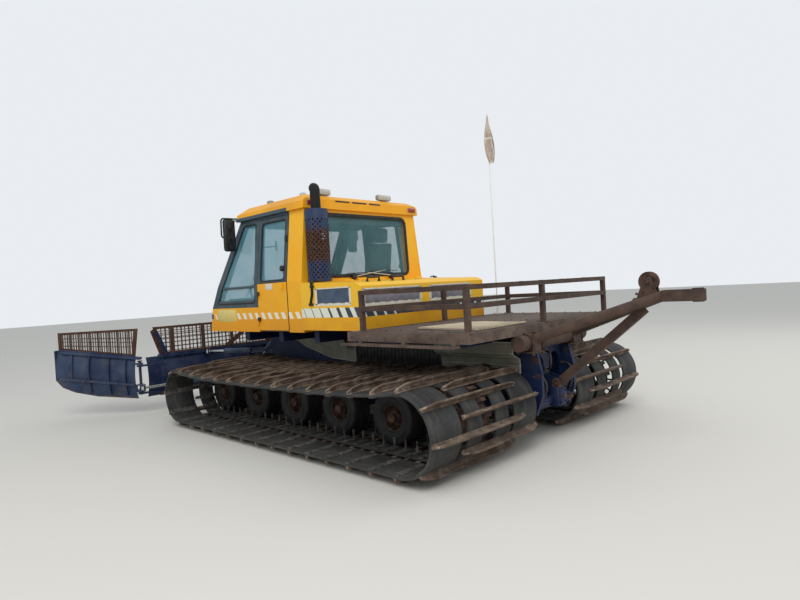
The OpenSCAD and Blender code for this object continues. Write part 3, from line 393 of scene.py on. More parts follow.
def track_shape():
    """The left track: four belts carried round the loop, and under each crossbar the plates, nuts and guide posts
    inside the belts."""
    shape = Shape()
    run = np.linspace(0, 1, 34)[:-1]
    s = np.concatenate(
        [
            AXLE_RUN * run[::2],
            AXLE_RUN + FRONT_ARC * run,
            AXLE_RUN + FRONT_ARC + AXLE_RUN * np.linspace(0, 1, 60)[:-1],
            2 * AXLE_RUN + FRONT_ARC + REAR_ARC * run,
        ]
    )
    x, z, out = on_loop(s)
    mid = np.stack([x - BELT_T / 2 * np.cos(out), 0 * x, z - BELT_T / 2 * np.sin(out)], -1)
    for start, end in BELTS:
        path = mid + [0, TRACK_OUT - (start + end) / 2, 0]
        shape.join(carried(path, rounded(BELT_T, end - start, 7, 3), (0, 1, 0), True))
    for kind, (start, end) in enumerate(BARS):
        turns, places = loop_places((2 * np.arange(BAR_COUNT // 2) + kind + 0.5) * LOOP / BAR_COUNT)
        points, worn, middle = crossbar(start, end)
        # Finish 2, pale at the bars' ends, is wear and partly a painted highlight.
        for faces, finish in ((worn, 2), (middle, 1)):
            shape.join(copies((points, faces), turns, places), finish)
        nuts = []
        for a, b in BELTS:
            a, b = max(a, start), min(b, end)
            if b - a < 60:
                continue
            plate = plain_box((-33, 33), (a + 8, b - 8), (-BELT_T - 6, -BELT_T))
            shape.join(copies(plate, turns, places), 3)
            count = 4 if b - a > 300 else 2
            nuts += [(u, v, -BELT_T - 6) for v in np.linspace(a + 40, b - 40, count) for u in (-18, 18)]
        shape.join(copies(bolts_at(nuts, (0, 0, -1), 9, 9), turns, places), 3)
        for v in (TRACK_OUT - TRACK_MID - 155, TRACK_OUT - TRACK_MID + 155):
            post = turned([(r, -BELT_T - z) for r, z in ((11, 96), (11, 5), (1, 5), (1, 104), (7, 103))], 8)
            shape.join(copies(moved(post, by=(0, v, 0)), turns, places), 3)
    return shape


# Tyre section: (radius, distance from its middle), from the outer bead over the tread to the inner bead
TYRE = (
    (134, -96), (150, -113), (180, -124), (204, -126), (208, -121), (228, -122), (252, -116), (264, -104), (268, -90),
    (268, -64), (259, -62), (259, -54), (268, -52), (268, -6), (259, -5), (259, 5), (268, 6), (268, 52), (259, 54),
    (259, 62), (268, 64), (268, 90), (264, 104), (252, 116), (228, 122), (208, 121), (204, 126), (180, 124), (150, 113),
    (134, 96), (122, 88), (122, -88),
)
# Section of the wheel inside the tyre: rim, dished disc and hub
RIM = (
    (139, -97), (139, -90), (128, -80), (128, 80), (139, 90), (139, 97), (131, 97), (122, 84), (118, 6), (72, 12),
    (64, 44), (40, 48), (40, -76), (58, -74), (66, -30), (74, -24), (116, -12), (122, -84), (131, -97),
)


def wheels_shape():
    """The left track's five tyred wheels: sections turned about the axle, a cap on the hub and a ring of eight nuts."""
    shape = Shape()
    places = [(x, TRACK_MID, WHEEL_Z) for x in np.linspace(WHEEL_X0, FRONT_X - 24, WHEEL_COUNT)]
    turns = np.broadcast_to(turn_about((1, 0, 0), 90), (len(places), 3, 3))
    cap = turned([(48, -122), (48, -98), (1, -98), (1, -126), (38, -126)], 24)
    ring = np.column_stack([circle(94, 8), np.full(8, -20.0)])
    nuts = bolts_at(ring, (0, 0, -1), 10, 12)
    for part, finish in ((turned(TYRE, 56), 0), (turned(RIM, 40), 1), (cap, 1), (nuts, 1)):
        shape.join(copies(part, turns, places), finish)
    return shape


# Shapes of the hood and the exhaust

PANEL_Z = (1485, 1650)
SIDE_PANEL = (1835, 2395)
REAR_PANELS = ((165, 1035), (-795, -45))
GUARD_TOP = 2600


def hood_windows(side):
    """The worn white border round the hood's window on one side, 1 for the left and -1 for the right, where film
    has peeled: four thin torn strips on the wall."""
    shape = Shape()
    (x0, x1), (z0, z1) = SIDE_PANEL, PANEL_Z
    for xs, zs, wave in (
        ((x0 - 30, x1 + 42), (z0 - 26, z0 + 2), 9),
        ((x0 - 30, x0 - 1), (z0 - 10, z1 + 12), 5),
        ((x1 - 2, x1 + 34), (z0 - 10, z1 + 12), 9),
        ((x0 - 30, x1 + 36), (z1 + 1, z1 + 13), 5),
    ):
        (x, z, t), faces = parted(torn_strip(xs, zs, wave))
        shape.join((np.column_stack([x, HOOD_HALF - 0.5 + t * 1.5, z]), faces), side=side)
    return shape


def torn_strip(across, along, wave):
    """A thin strip in a plane whose far edge is torn: sums of three sines push it in and out by up to wave. The
    strip runs along its longer side; its points are (first, second, thickness)."""
    (a0, a1), (b0, b1) = across, along
    lying = a1 - a0 > b1 - b0
    start, end = across if lying else along
    n = max(int((end - start) / 6), 8)
    t = np.linspace(start, end, n)
    tear = wave * (0.5 * np.sin(t / 23 + a0) + 0.3 * np.sin(t / 9.1 + b0) + 0.2 * np.sin(t / 4.3))
    low, high = (np.full(n, b0), b1 + tear) if lying else (np.full(n, a0), a1 + tear)
    pairs = [(t, low), (t, high)] if lying else [(high, t), (low, t)]
    rings = [np.column_stack([p, q, np.full(n, h)]) for h in (0.0, 1.0) for p, q in pairs]
    points = np.stack([rings[0], rings[1], rings[3], rings[2]], 1)
    return points.reshape(-1, 3), [f[:, ::-1] for f in tube_faces(n, 4)]


def parted(surface):
    """A surface with its points' three numbers apart."""
    return surface[0].T, surface[1]


def rear_windows():
    """The hood's two rear panels: a grey film on each, and torn white borders round them on the hood."""
    films, edges = Shape(), Shape()
    z0, z1 = PANEL_Z[0] - 15, PANEL_Z[1] - 30
    x = HOOD_REAR + 4
    for y0, y1 in REAR_PANELS:
        films.box((x - 1.4, x + 0.5), (y0 + 6, y1 - 6), (z0 + 6, z1 - 6), 0.6)
        for ys, zs, wave in (
            ((y0 - 34, y1 + 34), (z0 - 30, z0 + 2), 9),
            ((y0 - 34, y1 + 34), (z1 - 1, z1 + 13), 4),
            ((y0 - 34, y0), (z0 - 10, z1 + 8), 8),
            ((y1, y1 + 34), (z0 - 10, z1 + 8), 8),
        ):
            (y, z, t), faces = parted(torn_strip(ys, zs, wave))
            edges.join((np.column_stack([HOOD_REAR + 0.5 - t * 1.5, y, z]), faces))
    return films, edges


def guard_wall():
    """The pierced guard: unit cells with a round hole, wrapped round a cylinder in staggered rows. Each cell is a
    ring of eight quads between its edge and its hole, made for the outer and the inner skin and the hole's wall."""
    cols, rows, first, height, r_hole = 16, 24, 34, 29.5, 12.5
    pitch = 2 * math.pi / cols
    edge = np.array([(1, 0), (1, 1), (0, 1), (-1, 1), (-1, 0), (-1, -1), (0, -1), (1, -1)]) / 2
    hole = circle(1, 8) * r_hole
    outer, inner = GUARD_R, GUARD_R - 5
    j, k = np.meshgrid(np.arange(cols), np.arange(rows))
    a0, z0 = (j + 0.5 * (k % 2)).ravel()[:, None] * pitch, (first + (k + 0.5) * height).ravel()[:, None]
    rings = []
    for r in (outer, inner):
        rings.append((a0 + edge[:, 0] * pitch, z0 + edge[:, 1] * height, r))
        rings.append((a0 + hole[:, 0] / outer, z0 + hole[:, 1], r))
    points = np.stack([np.stack([r * np.cos(a), r * np.sin(a), z], -1) for a, z, r in rings], 1)
    i = np.arange(8)
    on = (i + 1) % 8
    quads = ((i, on, 8 + on, 8 + i), (8 + i, 8 + on, 24 + on, 24 + i), (16 + on, 16 + i, 24 + i, 24 + on))
    cell = np.concatenate([np.stack(quad, -1) for quad in quads])
    shape = Shape((points, [(cell[None] + (np.arange(rows * cols) * 32)[:, None, None]).reshape(-1, 4)]))
    top = GUARD_TOP - HOOD_TOP
    for low, high in ((0, first), (first + rows * height, top)):
        band = [(outer, low), (outer, high - 2), (outer - 2, high), (inner, high), (inner, low)]
        shape.join(turned(band, cols * 2))
    shape.join(turned([(outer + 3, 6), (outer + 3, 26), (outer - 1, 26), (outer - 1, 6)], cols * 2))
    for z in (40, 480, top - 60):
        spoke = block((PIPE_R - 2, GUARD_R - 4), (-14, 14), (z, z + 6), 1)
        for a in (0, 90, 180, 270):
            shape.join(moved(spoke, turn_about((0, 0, 1), a)))
        collar = [(PIPE_R + 6, z - 6), (PIPE_R + 6, z + 12), (PIPE_R + 0.5, z + 12), (PIPE_R + 0.5, z - 6)]
        shape.join(turned(collar, 24))
    for z in (16, top - 30):
        for x, y in circle(outer, 6):
            shape.bolts([(x, y, z)], (x, y, 0), 9, 6)
    return shape


def exhaust_shape():
    """The exhaust: a straight pipe, then a thicker neck whose elbow turns away to the front and right and is cut
    square. The neck is an outer tube, an inner one walked back along the same path, and the ring between them."""
    foot = np.array([STACK_X, STACK_Y, 0.0])
    pipe = Shape(carried([foot + [0, 0, HOOD_TOP], foot + [0, 0, GUARD_TOP - 30]], circle(PIPE_R, 32), (1, 0, 0)))
    way = arc_path([foot + [0, 0, GUARD_TOP - 60], foot + [0, 0, 2850], foot + [62, -34, 2868]], 56, 14)
    (outer, (skin, _, _)), (inner, (lining, _, _)) = (
        carried(way, circle(r, 32), (0.48, 0.87, 0)) for r in (PIPE_R + 6, PIPE_R)
    )
    m, last = len(outer), (len(way) - 1) * 32
    i = last + np.arange(32)
    on = last + (np.arange(32) + 1) % 32
    mouth = np.stack([i, on, on + m, i + m], -1)
    return pipe, Shape((np.vstack([outer, inner]), [skin, lining[:, ::-1] + m, mouth]))


def hood_fittings(pull):
    """The black rubber strap latches over the hood's edges, and the pulls and hinges of its lid."""
    straps, pulls = Shape(), Shape()
    way = [(2470, -70, HOOD_TOP + 7), (2478, 9, HOOD_TOP + 8), (2462, 10, 1690), (2464, 9, 1600)]
    way += [(2500, 8, 1500), (2516, 8, 1478)]
    for side in (1, -1):
        y = side * HOOD_HALF
        path = arc_path([(a, y + side * b, c) for a, b, c in way], 22)
        straps.join(carried(path, rounded(14, 40, 5, 3), (0.2, side, 0)))
        for x, z, w in ((2466, 1738, 30), (2466, 1690, 34), (2500, 1482, 38)):
            straps.box((x - w, x + w), sorted((y, y + side * 20)), (z - 16, z + 16), 7)
    x = HOOD_REAR + 200
    z = HOOD_TOP - (CAB_REAR - x) * 45 / (CAB_REAR - HOOD_REAR - 90)
    for y in (310, 712):
        path = arc_path([(x, y + b, z + c) for b, c in ((-92, -4), (-92, 52), (92, 52), (92, -4))], 28)
        pulls.join(carried(path, circle(pull, 12), (1, 0, 0)))
        for s in (-92, 92):
            pulls.box((x - 20, x + 20), (y + s - 20, y + s + 20), (z - 3, z + 5), 2)
    return straps, pulls


# Shapes of the cab


def side_y(z):
    """Distance from the middle of the cab's side at a height: upright below the belt line, leaning in above."""
    return CAB_HALF - np.clip(np.asarray(z, float) - BELT_Z, 0, None) * (CAB_HALF - EAVES_HALF) / (EAVES_Z - BELT_Z)


def front_x(z):
    """Station of the cab's front at a height: the nose below the windscreen's foot, the raked screen above."""
    return np.interp(z, [1150, WS_Z, EAVES_Z], [NOSE_X, WS_FOOT, WS_HEAD])


def frame_strip(corners, r, place, up, w=34, t=11):
    """A rubber or steel strip round an opening: its flat corners are rounded, put onto the wall by place, and a
    rounded profile is carried along them, w wide on the wall and t thick."""
    path = arc_path([(a, b, 0) for a, b in corners], r, 6, True)
    return carried(place(path[:, 0], path[:, 1]), rounded(w, t, t * 0.45, 3), up, True)


def on_side(side, out=0.0):
    """Puts (station, height) onto the cab's left (1) or right (-1) wall, out millimetres off it."""
    return lambda x, z: np.column_stack([x, side * (side_y(z) + out), z])


def on_rear(y, z):
    """Puts (distance from the middle, height) onto the cab's rear wall."""
    return np.column_stack([np.full(len(y), CAB_REAR - 1.0), y, z])


def on_screen(y, z):
    """Puts (distance from the middle, height) onto the windscreen."""
    return np.column_stack([front_x(z) + 1.0, y, z])


# The doors' two edges and top, and the corners of the glazed openings
DOOR = (3000, 3660)
DOOR_TOP = 2600
REAR_OPENING = ((-800, 1810), (800, 1810), (770, 2580), (-770, 2580))
SCREEN_OPENING = ((-940, WS_Z + 70), (940, WS_Z + 70), (840, EAVES_Z - 60), (-840, EAVES_Z - 60))
QUARTER_OPENING = (
    (DOOR[1] + 80, WS_Z + 60),
    (WS_FOOT - 160, WS_Z + 60),
    (WS_HEAD - 90, EAVES_Z - 70),
    (DOOR[1] + 80, EAVES_Z - 70),
)
DOOR_OPENING = (
    (DOOR[0] + 60, BELT_Z + 30),
    (DOOR[1] - 70, BELT_Z + 30),
    (DOOR[1] - 70, DOOR_TOP - 50),
    (DOOR[0] + 60, DOOR_TOP - 50),
)
# How much the cab's sides lean in above the belt line, and its windscreen leans back
LEAN = (CAB_HALF - EAVES_HALF) / (EAVES_Z - BELT_Z)
RAKE = (WS_FOOT - WS_HEAD) / (EAVES_Z - WS_Z)


def window_seals():
    """Rubber round the fixed windows: thick at the rear, thinner at the sides and the windscreen."""
    return Shape(
        frame_strip(REAR_OPENING, 92, on_rear, (-1, 0, 0), 46, 14),
        frame_strip(SCREEN_OPENING, 62, on_screen, (1, 0, RAKE), 34, 12),
        *(frame_strip(QUARTER_OPENING, 46, on_side(side), (0, side, LEAN), 20, 10) for side in (1, -1)),
    )


def quarter_bars():
    """Slate sill and rail across the quarter windows, and the pillar in front of the door: flat bars laid on the
    glass."""
    (x0, z0), (x1, _) = QUARTER_OPENING[:2]
    bars = ((z0 + 20, x1 - 30, 44), (1742, 4545, 34))
    return Shape(
        *(
            carried(on_side(side, -6)(np.array([x0 - 5.0, reach]), np.array([z, z])), rounded(10, w, 3, 3))
            for side in (1, -1)
            for z, reach, w in bars
        )
    )


def door_fittings(side):
    """A door's seals, its slate upper frame, its hinge covers, the black knob and lock on its rear column and the
    grab handle behind the glass."""
    rubber, slate, black = Shape(), Shape(), Shape()
    up = (0, side, LEAN)
    (x0, x1), y, low, high = DOOR, CAB_HALF, BELT_Z, DOOR_TOP
    rubber.join(frame_strip(DOOR_OPENING, 46, on_side(side), up, 22, 10))
    edge = (x0 + 9, low + 6), (x1 - 9, low + 6), (x1 - 9, high - 8), (x0 + 9, high - 8)
    rubber.join(frame_strip(edge, 12, on_side(side, -1), up, 8, 7))
    for xs, zs, w, top in (  # the upper frame's bars: both ends' places, width, direction across
        ((x0 + 31, x0 + 31), (low + 8, high - 12), 46, (1, 0, 0)),
        ((x1 - 37, x1 - 37), (low + 8, high - 12), 54, (1, 0, 0)),
        ((x0 + 10, x1 - 10), (low + 18, low + 18), 24, (0, 0, 1)),
        ((x0 + 10, x1 - 10), (high - 31, high - 31), 46, (0, 0, 1)),
    ):
        slate.join(carried(on_side(side, 1)(np.array(xs, float), np.array(zs, float)), rounded(5, w, 2, 3), top))
    path = np.array([(x0 + 3, y + 1, low), (x0 + 3, y + 1, 1168), (x1 - 3, y + 1, 1168)]) * [1, side, 1]
    rubber.join(carried(arc_path(path, 14), rounded(8, 7, 2, 3), (0, side, 0)))
    for z in (1290, 1620):  # hinge covers
        black.box((x1 - 58, x1 + 3), (y + 3, y + 25), (z + 1, z + 51), 6, side)
    z = 1940
    knob = turned([(1, 0), (34, 0), (38, 6), (38, 22), (30, 32), (12, 36), (1, 36)], 24)
    black.join(moved(knob, turn_about((1, 0, 0), -90), (x0 + 92, side_y(z) - 3, z)), side=side)
    y = side_y(2300)  # where the lock is, halfway up it
    black.box((x0 + 14, x0 + 56), (y - 2, y + 22), (2262, 2345), 7, side)
    for path, r, top in (  # the grab handle's level and upright tubes
        ([(x1 - 330, 962, 2240), (x1 + 20, 962, 2250)], 9, (0, 0, 1)),
        ([(x1 - 330, 962, 2180), (x1 - 330, 962, 2300)], 11, (1, 0, 0)),
    ):
        black.join(carried(np.array(path) * [1, side, 1], circle(r, 10), top))
    return rubber, slate, black


def inner_lining():
    """What shows through the glass: the dark headliner with its front and rear frames, the pillars' covers and the
    inner rails, as slabs with rounded edges set in from the walls."""
    shape = Shape()
    top = EAVES_Z - 20
    # Headliner, rear frame, front frame
    shape.box((CAB_REAR + 60, WS_HEAD - 60), (-890, 890), (EAVES_Z - 36, EAVES_Z - 8), 8)
    shape.box((CAB_REAR + 46, CAB_REAR + 96), (-900, 900), (2478, top), 12)
    shape.box((WS_HEAD - 96, WS_HEAD - 34), (-880, 880), (2560, EAVES_Z - 14), 12)
    for side in (1, -1):
        for x in (DOOR[1] + 38, CAB_REAR + 82):
            path = on_side(side, -66)(np.array([x, x], float), np.array([1200.0, top]))
            shape.join(carried(path, rounded(34, 62, 10, 3), (1, 0, 0)))
        path = [(WS_FOOT - 20, 985, WS_Z - 20), (WS_FOOT - 40, 980, WS_Z + 30), (WS_HEAD - 36, 905, top)]
        shape.join(carried(np.array(path) * [1, side, 1], rounded(34, 40, 10, 3), (0, 1, 0)))
    return shape


def wiper(pivot, tip, blade_a, blade_b, out):
    """A wiper: its motor's cap at the pivot, a tapering arm to the tip and the blade between its two ends. out is
    the direction off the glass."""
    pivot, tip, a, b, out = (np.asarray(v, float) for v in (pivot, tip, blade_a, blade_b, out))
    t = np.linspace(0, 1, 9)[:, None]
    path = pivot + (tip - pivot) * t + out * (34 - 18 * t)
    arm = Shape(carried(path, rounded(13, 7, 2.5, 3), out, scale=1 - 0.45 * t[:, 0]))
    side = np.cross(out, (0, 1, 0))
    turn = np.column_stack([side / np.linalg.norm(side), np.cross(out, side) / np.linalg.norm(side), out])
    cap = turned([(1, -2), (40, -2), (44, 8), (42, 30), (30, 42), (1, 44)], 24)
    blade = carried([a + out * 12, (a + b) / 2 + out * 15, b + out * 12], rounded(8, 14, 3, 3), out)
    return arm, Shape(moved(cap, turn, pivot), blade)


def wipers():
    """Two rear wipers parked across each other under the rear window, and the windscreen's one."""
    arms, blades = Shape(), Shape()
    x = CAB_REAR - 4
    front = [(front_x(z) + 4, y, z) for y, z in ((260, 1520), (520, 1900), (545, 1620), (490, 2180))]
    for ends, out in (  # pivot, tip and the blade's two ends; the direction off the glass
        (((x, 246, 1796), (x, -330, 1872), (x, -40, 1858), (x, -560, 1862)), (-1, 0, 0)),
        (((x, -430, 1796), (x, 60, 1850), (x, 360, 1838), (x, -190, 1852)), (-1, 0, 0)),
        (front, (0.845, 0, 0.535)),
    ):
        arm, blade = wiper(*ends, out)
        arms.take(arm)
        blades.take(blade)
    return arms, blades


def mirror_shape(side):
    """A tall mirror: a head whose section is a rounded rectangle that shrinks to both ends along a quarter circle,
    and a looped tube from the roof's corner round the head."""
    black = Shape()
    x, y = WS_HEAD + 76, CAB_HALF + 40
    black.box((x - 30, x + 30), (y - 88, y + 88), (2244, 2680), 28)
    black.box((x - 40, x + 40), (y - 30, y + 30), (2400, 2440), 8)
    high = [(x - 136, 945, 2700), (x - 10, 960, 2690), (x, y + 112, 2690), (x, y + 116, 2440), (x, y + 60, 2424)]
    low = [(x - 96, 940, 2672), (x - 6, 1010, 2662), (x + 4, y + 30, 2664), (x + 4, y + 34, 2620)]
    for loop, r, up in ((high, 11, (1, 0.1, 0.2)), (low, 9, (0.1, 0.2, 1))):
        black.join(carried(arc_path(loop, 46, 6), circle(r, 10), up))
    for z in (2300, 2560):
        black.box((x - 38, x - 20), (y - 20, y + 20), (z - 30, z + 30), 5)
    return black if side > 0 else black.flipped()


def lamps():
    """Roof lamps: two work lamps in rounded housings, a round clear beacon and a stub, the red rear lamps and the
    headlamps' lenses. Apart from them, black plates for the roof's slots, which are painted shade of their recesses,
    the nose's louvres and the headlamps' rims."""
    housing, lens, red, slots = Shape(), Shape(), Shape(), Shape()
    z = ROOF_Z
    for y0, y1 in ((494, 716), (-582, -330)):  # work lamps
        y = (y0 + y1) / 2
        housing.box((2746, 2812), (y0, y1), (z + 10, z + 92), 24)
        lens.box((2737, 2756), (y0 + 10, y1 - 10), (z + 16, z + 86), 9)
        housing.box((2762, 2798), (y - 40, y + 40), (z, z + 16), 4)
    dome = [(1, 0.5), (48, 0.5), (48, 12), (44, 16), (42, 30), (34, 40), (18, 45), (1, 46)]
    lens.join(moved(turned(dome, 28), by=(2880, 830, z)))
    stub = [(1, 0.5), (48, 0.5), (48, 26), (40, 36), (26, 42), (1, 42)]
    housing.join(moved(turned(stub, 28), by=(3560, 850, z)))
    for y0, y1 in ((820, 950), (-950, -820)):  # rear lamps
        red.box((2638, 2659), (y0, y1), (2680, 2730), 7)
        housing.box((2650, 2664), (y0 - 6, y1 + 6), (2674, 2736), 3)
    # Black plates on the roof's rear edge: painted shade where its slots are recessed.
    for ys in ((275, 506), (-20, 224), (-276, -74)):  # slots in the roof's rear edge
        slots.box((2656, 2662), ys, (2734, 2752), 2)
    for z in np.arange(1196, 1300, 22.0):  # louvres of the nose
        slots.box((4880, front_x(z) + 7), (-420, 420), (z, z + 11), 3)
    for y0, y1 in ((560, 770), (790, 930), (-770, -560), (-930, -790)):  # headlamps
        slots.box((4880, 4934), (y0 - 8, y1 + 8), (1188, 1304), 10)
        lens.box((4900, 4942), (y0, y1), (1196, 1296), 8)
    return housing, lens, red, slots


# Shapes of the deck, the boom and the blade

DECK_X = (60, 1620)
RAIL_H, RAIL_T = 410, 46
BOARD = ((500, 700), -3.5, 720, 760)


def deck_fittings():
    """Bolts on the deck's floor and frame, treads on its side steps and base plates under the rails."""
    steel, worn = Shape(), Shape()
    (x0, x1), half, z = DECK_X, DECK_HALF, DECK_Z
    floor = [(x, y, z) for x in np.linspace(160, 1330, 7) for y in (-1240, -660, -60, 60, 660, 1240)]
    steel.bolts(floor, (0, 0, 1), 11, 7)
    steel.bolts([(x0, y, z - 55) for y in (-1290, -640, -30, 640, 1290)], (-1, 0, 0), 12, 8)
    for side in (1, -1):
        steel.bolts([(x, side * half, z - 55) for x in (130, 420, 760, 1080, 1560)], (0, side, 0), 12, 8)
    for x in (x0 + 25, 1400):
        for y in (25 - half, 45, half - 25):
            steel.box((x - 45, x + 45), (y - 40, y + 25 if y > 1000 else y + 40), (z - 5, z + 5), 2)
    for side in (1, -1):
        for x in np.arange(170, x1 - 50, 34.0):
            worn.box((x, x + 9), sorted((side * (half + 2), side * (half + 124))), (z - 119, z - 112), 1.5)
        edge = side * (half + 120)
        worn.box((165, x1 - 45), (edge - 5, edge + 5), (z - 119, z - 108), 2)
    return steel, worn


def side_covers():
    """The folded sheets on the hull's left side below its side panels, and between them a black louvred plate that is
    painted shade where the hull's open side lies in shadow. The rear sheet is a folded section carried along X; its
    rear edge is bent out. Pale strips lie along that edge, along the rear sheet's folds and along the front sheet's
    lower and rear edges."""
    out = [(482, 1034), (487, 1030), (487, 902), (384, 856), (374, 842), (374, 806), (368, 800), (368, 760)]
    out += [(374, 754), (374, 706)]
    section = np.array(out[::-1] + [(y - 6, z) for y, z in out], float)[::-1]
    sheet = Shape(carried([(196, 0, 0), (1188, 0, 0)], section))
    edge = Shape(carried([(186, 0, 0), (198, 0, 0)], section * 1.004))
    # Pale strips along the rear sheet's folds.
    for y, z in ((488, 1026), (488, 915), (437, 880), (372, 784), (372, 712)):
        edge.box((196, 1188), (y - 3, y + 3), (z - 4, z + 4), 2)
    front = [(2600, 716), (3080, 742), (3640, 884), (3858, 984), (3858, 1002), (2600, 1002)]
    sheet.join(slab_xz(front, 362, 372))
    for (x0, z0), (x1, z1) in zip(front[:3], front[1:4]):
        edge.join(carried([(x0, 371, z0 + 4), (x1, 371, z1 + 4)], rounded(6, 9, 2, 3)))
    edge.box((2594, 2606), (362, 378), (716, 1002), 2)
    # A black plate with louvres, painted shade: it stands where the hull's open side lies in shadow.
    dark = Shape(block((1200, 2590), (358, 366), (700, 1000), 2))
    for x in np.arange(1240, 2560, 60.0):
        dark.box((x, x + 34), (364, 374), (760, 960), 4)
    return sheet, edge, dark


def plywood_board():
    """The loose board: a sheet whose corners have lifted a little, thickness from a closed grid. Its height is a
    shallow saddle plus a slow wave along X."""
    (cx, cy), lean, length, width = BOARD
    u, v = np.meshgrid(np.linspace(-1, 1, 37), np.linspace(-1, 1, 21), indexing="ij")
    rise = 5 * u * v * u**2 + 1.5 * np.sin(3 * u) * v**2 + 2
    flat = np.stack([u * length / 2, v * width / 2], -1) @ turn_about((0, 0, 1), lean)[:2, :2].T + [cx, cy]
    low = np.concatenate([flat, (DECK_Z + 0.5 + np.clip(rise, 0, 9))[..., None]], -1)
    return Shape((np.stack([low, low + [0, 0, 15]]), sheet_faces(*u.shape)))


def rail_joints():
    """Welded sleeves where the rails' tubes meet, and clamps along the top rails."""
    shape = Shape()
    t, high = RAIL_T / 2, DECK_Z + RAIL_H
    edges = (25 - DECK_HALF, DECK_HALF - 25)
    for x in (DECK_X[0] + 25, 1400):
        for y in edges:
            for z in (DECK_Z + 223, high - 23):
                shape.box((x - t - 3, x + t + 3), (y - t - 3, y + t + 3), (z - 8, z + 8))
    for x in np.linspace(320, 1180, 4):
        for y in edges:
            shape.box((x - 18, x + 18), (y - t - 2, y + t + 2), (high - RAIL_T - 2, high + 2), 2)
    return shape


TUBE = (50, 1024.7, 75)
APEX = (-1080, 1430)
SHEAVE = (-940, 1540)
STRUT_FOOT = (-20, 580)


def boom_fittings():
    """U-bolts over the boom's cross tube, gussets at its head, bolts through the sheave's cheeks and the shackle in the
    hitch hole."""
    bolts, plates = Shape(), Shape()
    (x, z, r), (px, pz) = TUBE, SHEAVE
    a = np.linspace(-math.pi / 2, math.pi / 2, 13)
    reach = r + 11
    for side in (1, -1):
        for y in (side * 316, side * 486):
            loop = np.column_stack([x + reach * np.sin(a), np.full(13, y), z + reach * np.cos(a)])
            path = np.vstack([(x - reach, y, z - 96), loop, (x + reach, y, z - 96)])
            bolts.join(carried(path, circle(10, 10), (0, 1, 0)))
            for leg in (x - reach, x + reach):
                bolts.bolts([(leg, y, z - 98)], (0, 0, -1), 17, 16)
        plates.box((x - 100, x + 100), sorted((side * 300, side * 502)), (z - 97, z - 86))
        bolts.bolts([(x + d, side * y, z + 78) for d in (-60, 40) for y in (360, 440)], (0, 0, 1), 13, 10)
        for dx, dz in ((-52, 8), (40, -24), (96, -44)):
            bolts.bolts([(px + dx, side * 42, pz + dz - 60)], (0, side, 0), 13, 9)
        bolts.bolts([(px, side * 46, pz)], (0, side, 0), 20, 14)
    top = APEX[1]
    for side in (1, -1):
        cheek = [(px + 150, top - 66), (px - 40, top - 62), (px - 60, top - 30), (px + 120, top - 30)]
        plates.join(slab_xz(cheek, side * 47, side * 57))
    for z0, z in ((0, 30), (-8, -70)):
        washer = turned([(22, z0), (46, z0), (46, z0 + 8), (22, z0 + 8)], 32)
        plates.join(moved(washer, by=(-1340, 0, top + z)))
    return bolts, plates


def slab_xz(outline, y0, y1):
    """A plate whose outline is given in X and Z, between two distances from the middle."""
    y0, y1 = sorted((y0, y1))
    flat = np.asarray(outline, float)
    area = np.sum(flat[:, 0] * np.roll(flat[:, 1], -1) - np.roll(flat[:, 0], -1) * flat[:, 1])
    flat = flat if area > 0 else flat[::-1]
    n = len(flat)
    near = np.column_stack([flat[:, 0], np.full(n, y0), flat[:, 1]])
    i = np.arange(n)
    on = (i + 1) % n
    walls = np.stack([i, i + n, on + n, on], -1)[:, ::-1]
    return np.vstack([near, near + [0, y1 - y0, 0]]), [walls, i[None], (i + n)[None, ::-1]]


def hitch_housing():
    """The hitch under the strut's foot: a housing with its cover and bolts, and a rusty ring on a lug beside it."""
    housing, ring = Shape(), Shape()
    housing.box((-44, 70), (-78, 78), (350, 548), 10)
    housing.box((-56, -40), (-62, 62), (372, 520), 5)
    housing.bolts([(-56, y, z) for y in (-46, 46) for z in (392, 500)], (-1, 0, 0), 11, 9)
    housing.box((-30, 60), (-190, -70), (372, 402), 6)
    ring.join(moved(turned([(30, -14), (52, -20), (58, 0), (52, 20), (30, 14)], 28), by=(-10, -162, 420)))
    ring.box((-34, 14), (-186, -138), (398, 408), 6)
    ring.join(rod((-66, -30, 446), (-66, 30, 446), 15, 14))
    return housing, ring


def strut_fittings():
    """Collar and pin on the strut's foot."""
    shape = Shape()
    x, z = STRUT_FOOT
    collar = turned([(30, 0), (52, 0), (52, 9), (30, 9)], 28)
    for side in (1, -1):
        shape.bolts([(x, side * 60, z)], (0, side, 0), 24, 16)
        shape.join(moved(collar, turn_about((1, 0, 0), -90 * side), (x, side * 62, z)))
    return shape


def blade_wires():
    """The woven look of the blade's screen: a vertical wire every 62 mm and a level one every 60 mm, set a little
    behind them."""
    shape = Shape()
    x = HINGE_X - 20
    low, high, z0, z1 = 1440, 1596, 852, 1234
    for y in np.arange(-1550, 1551, 62.0):
        foot = z0 + max(abs(y) - low, 0) / (high - low) * (z1 - z0)
        if z1 - foot >= 40:
            shape.join(plain_box((x - 3.5, x + 3.5), (y - 7, y + 7), (foot, z1)))
    for z in np.arange(880, 1230, 60.0):
        reach = low + (z - z0) / (z1 - z0) * (high - low) - 14
        shape.join(plain_box((x - 6, x - 1), (-reach, reach), (z - 6, z + 6)))
    return shape


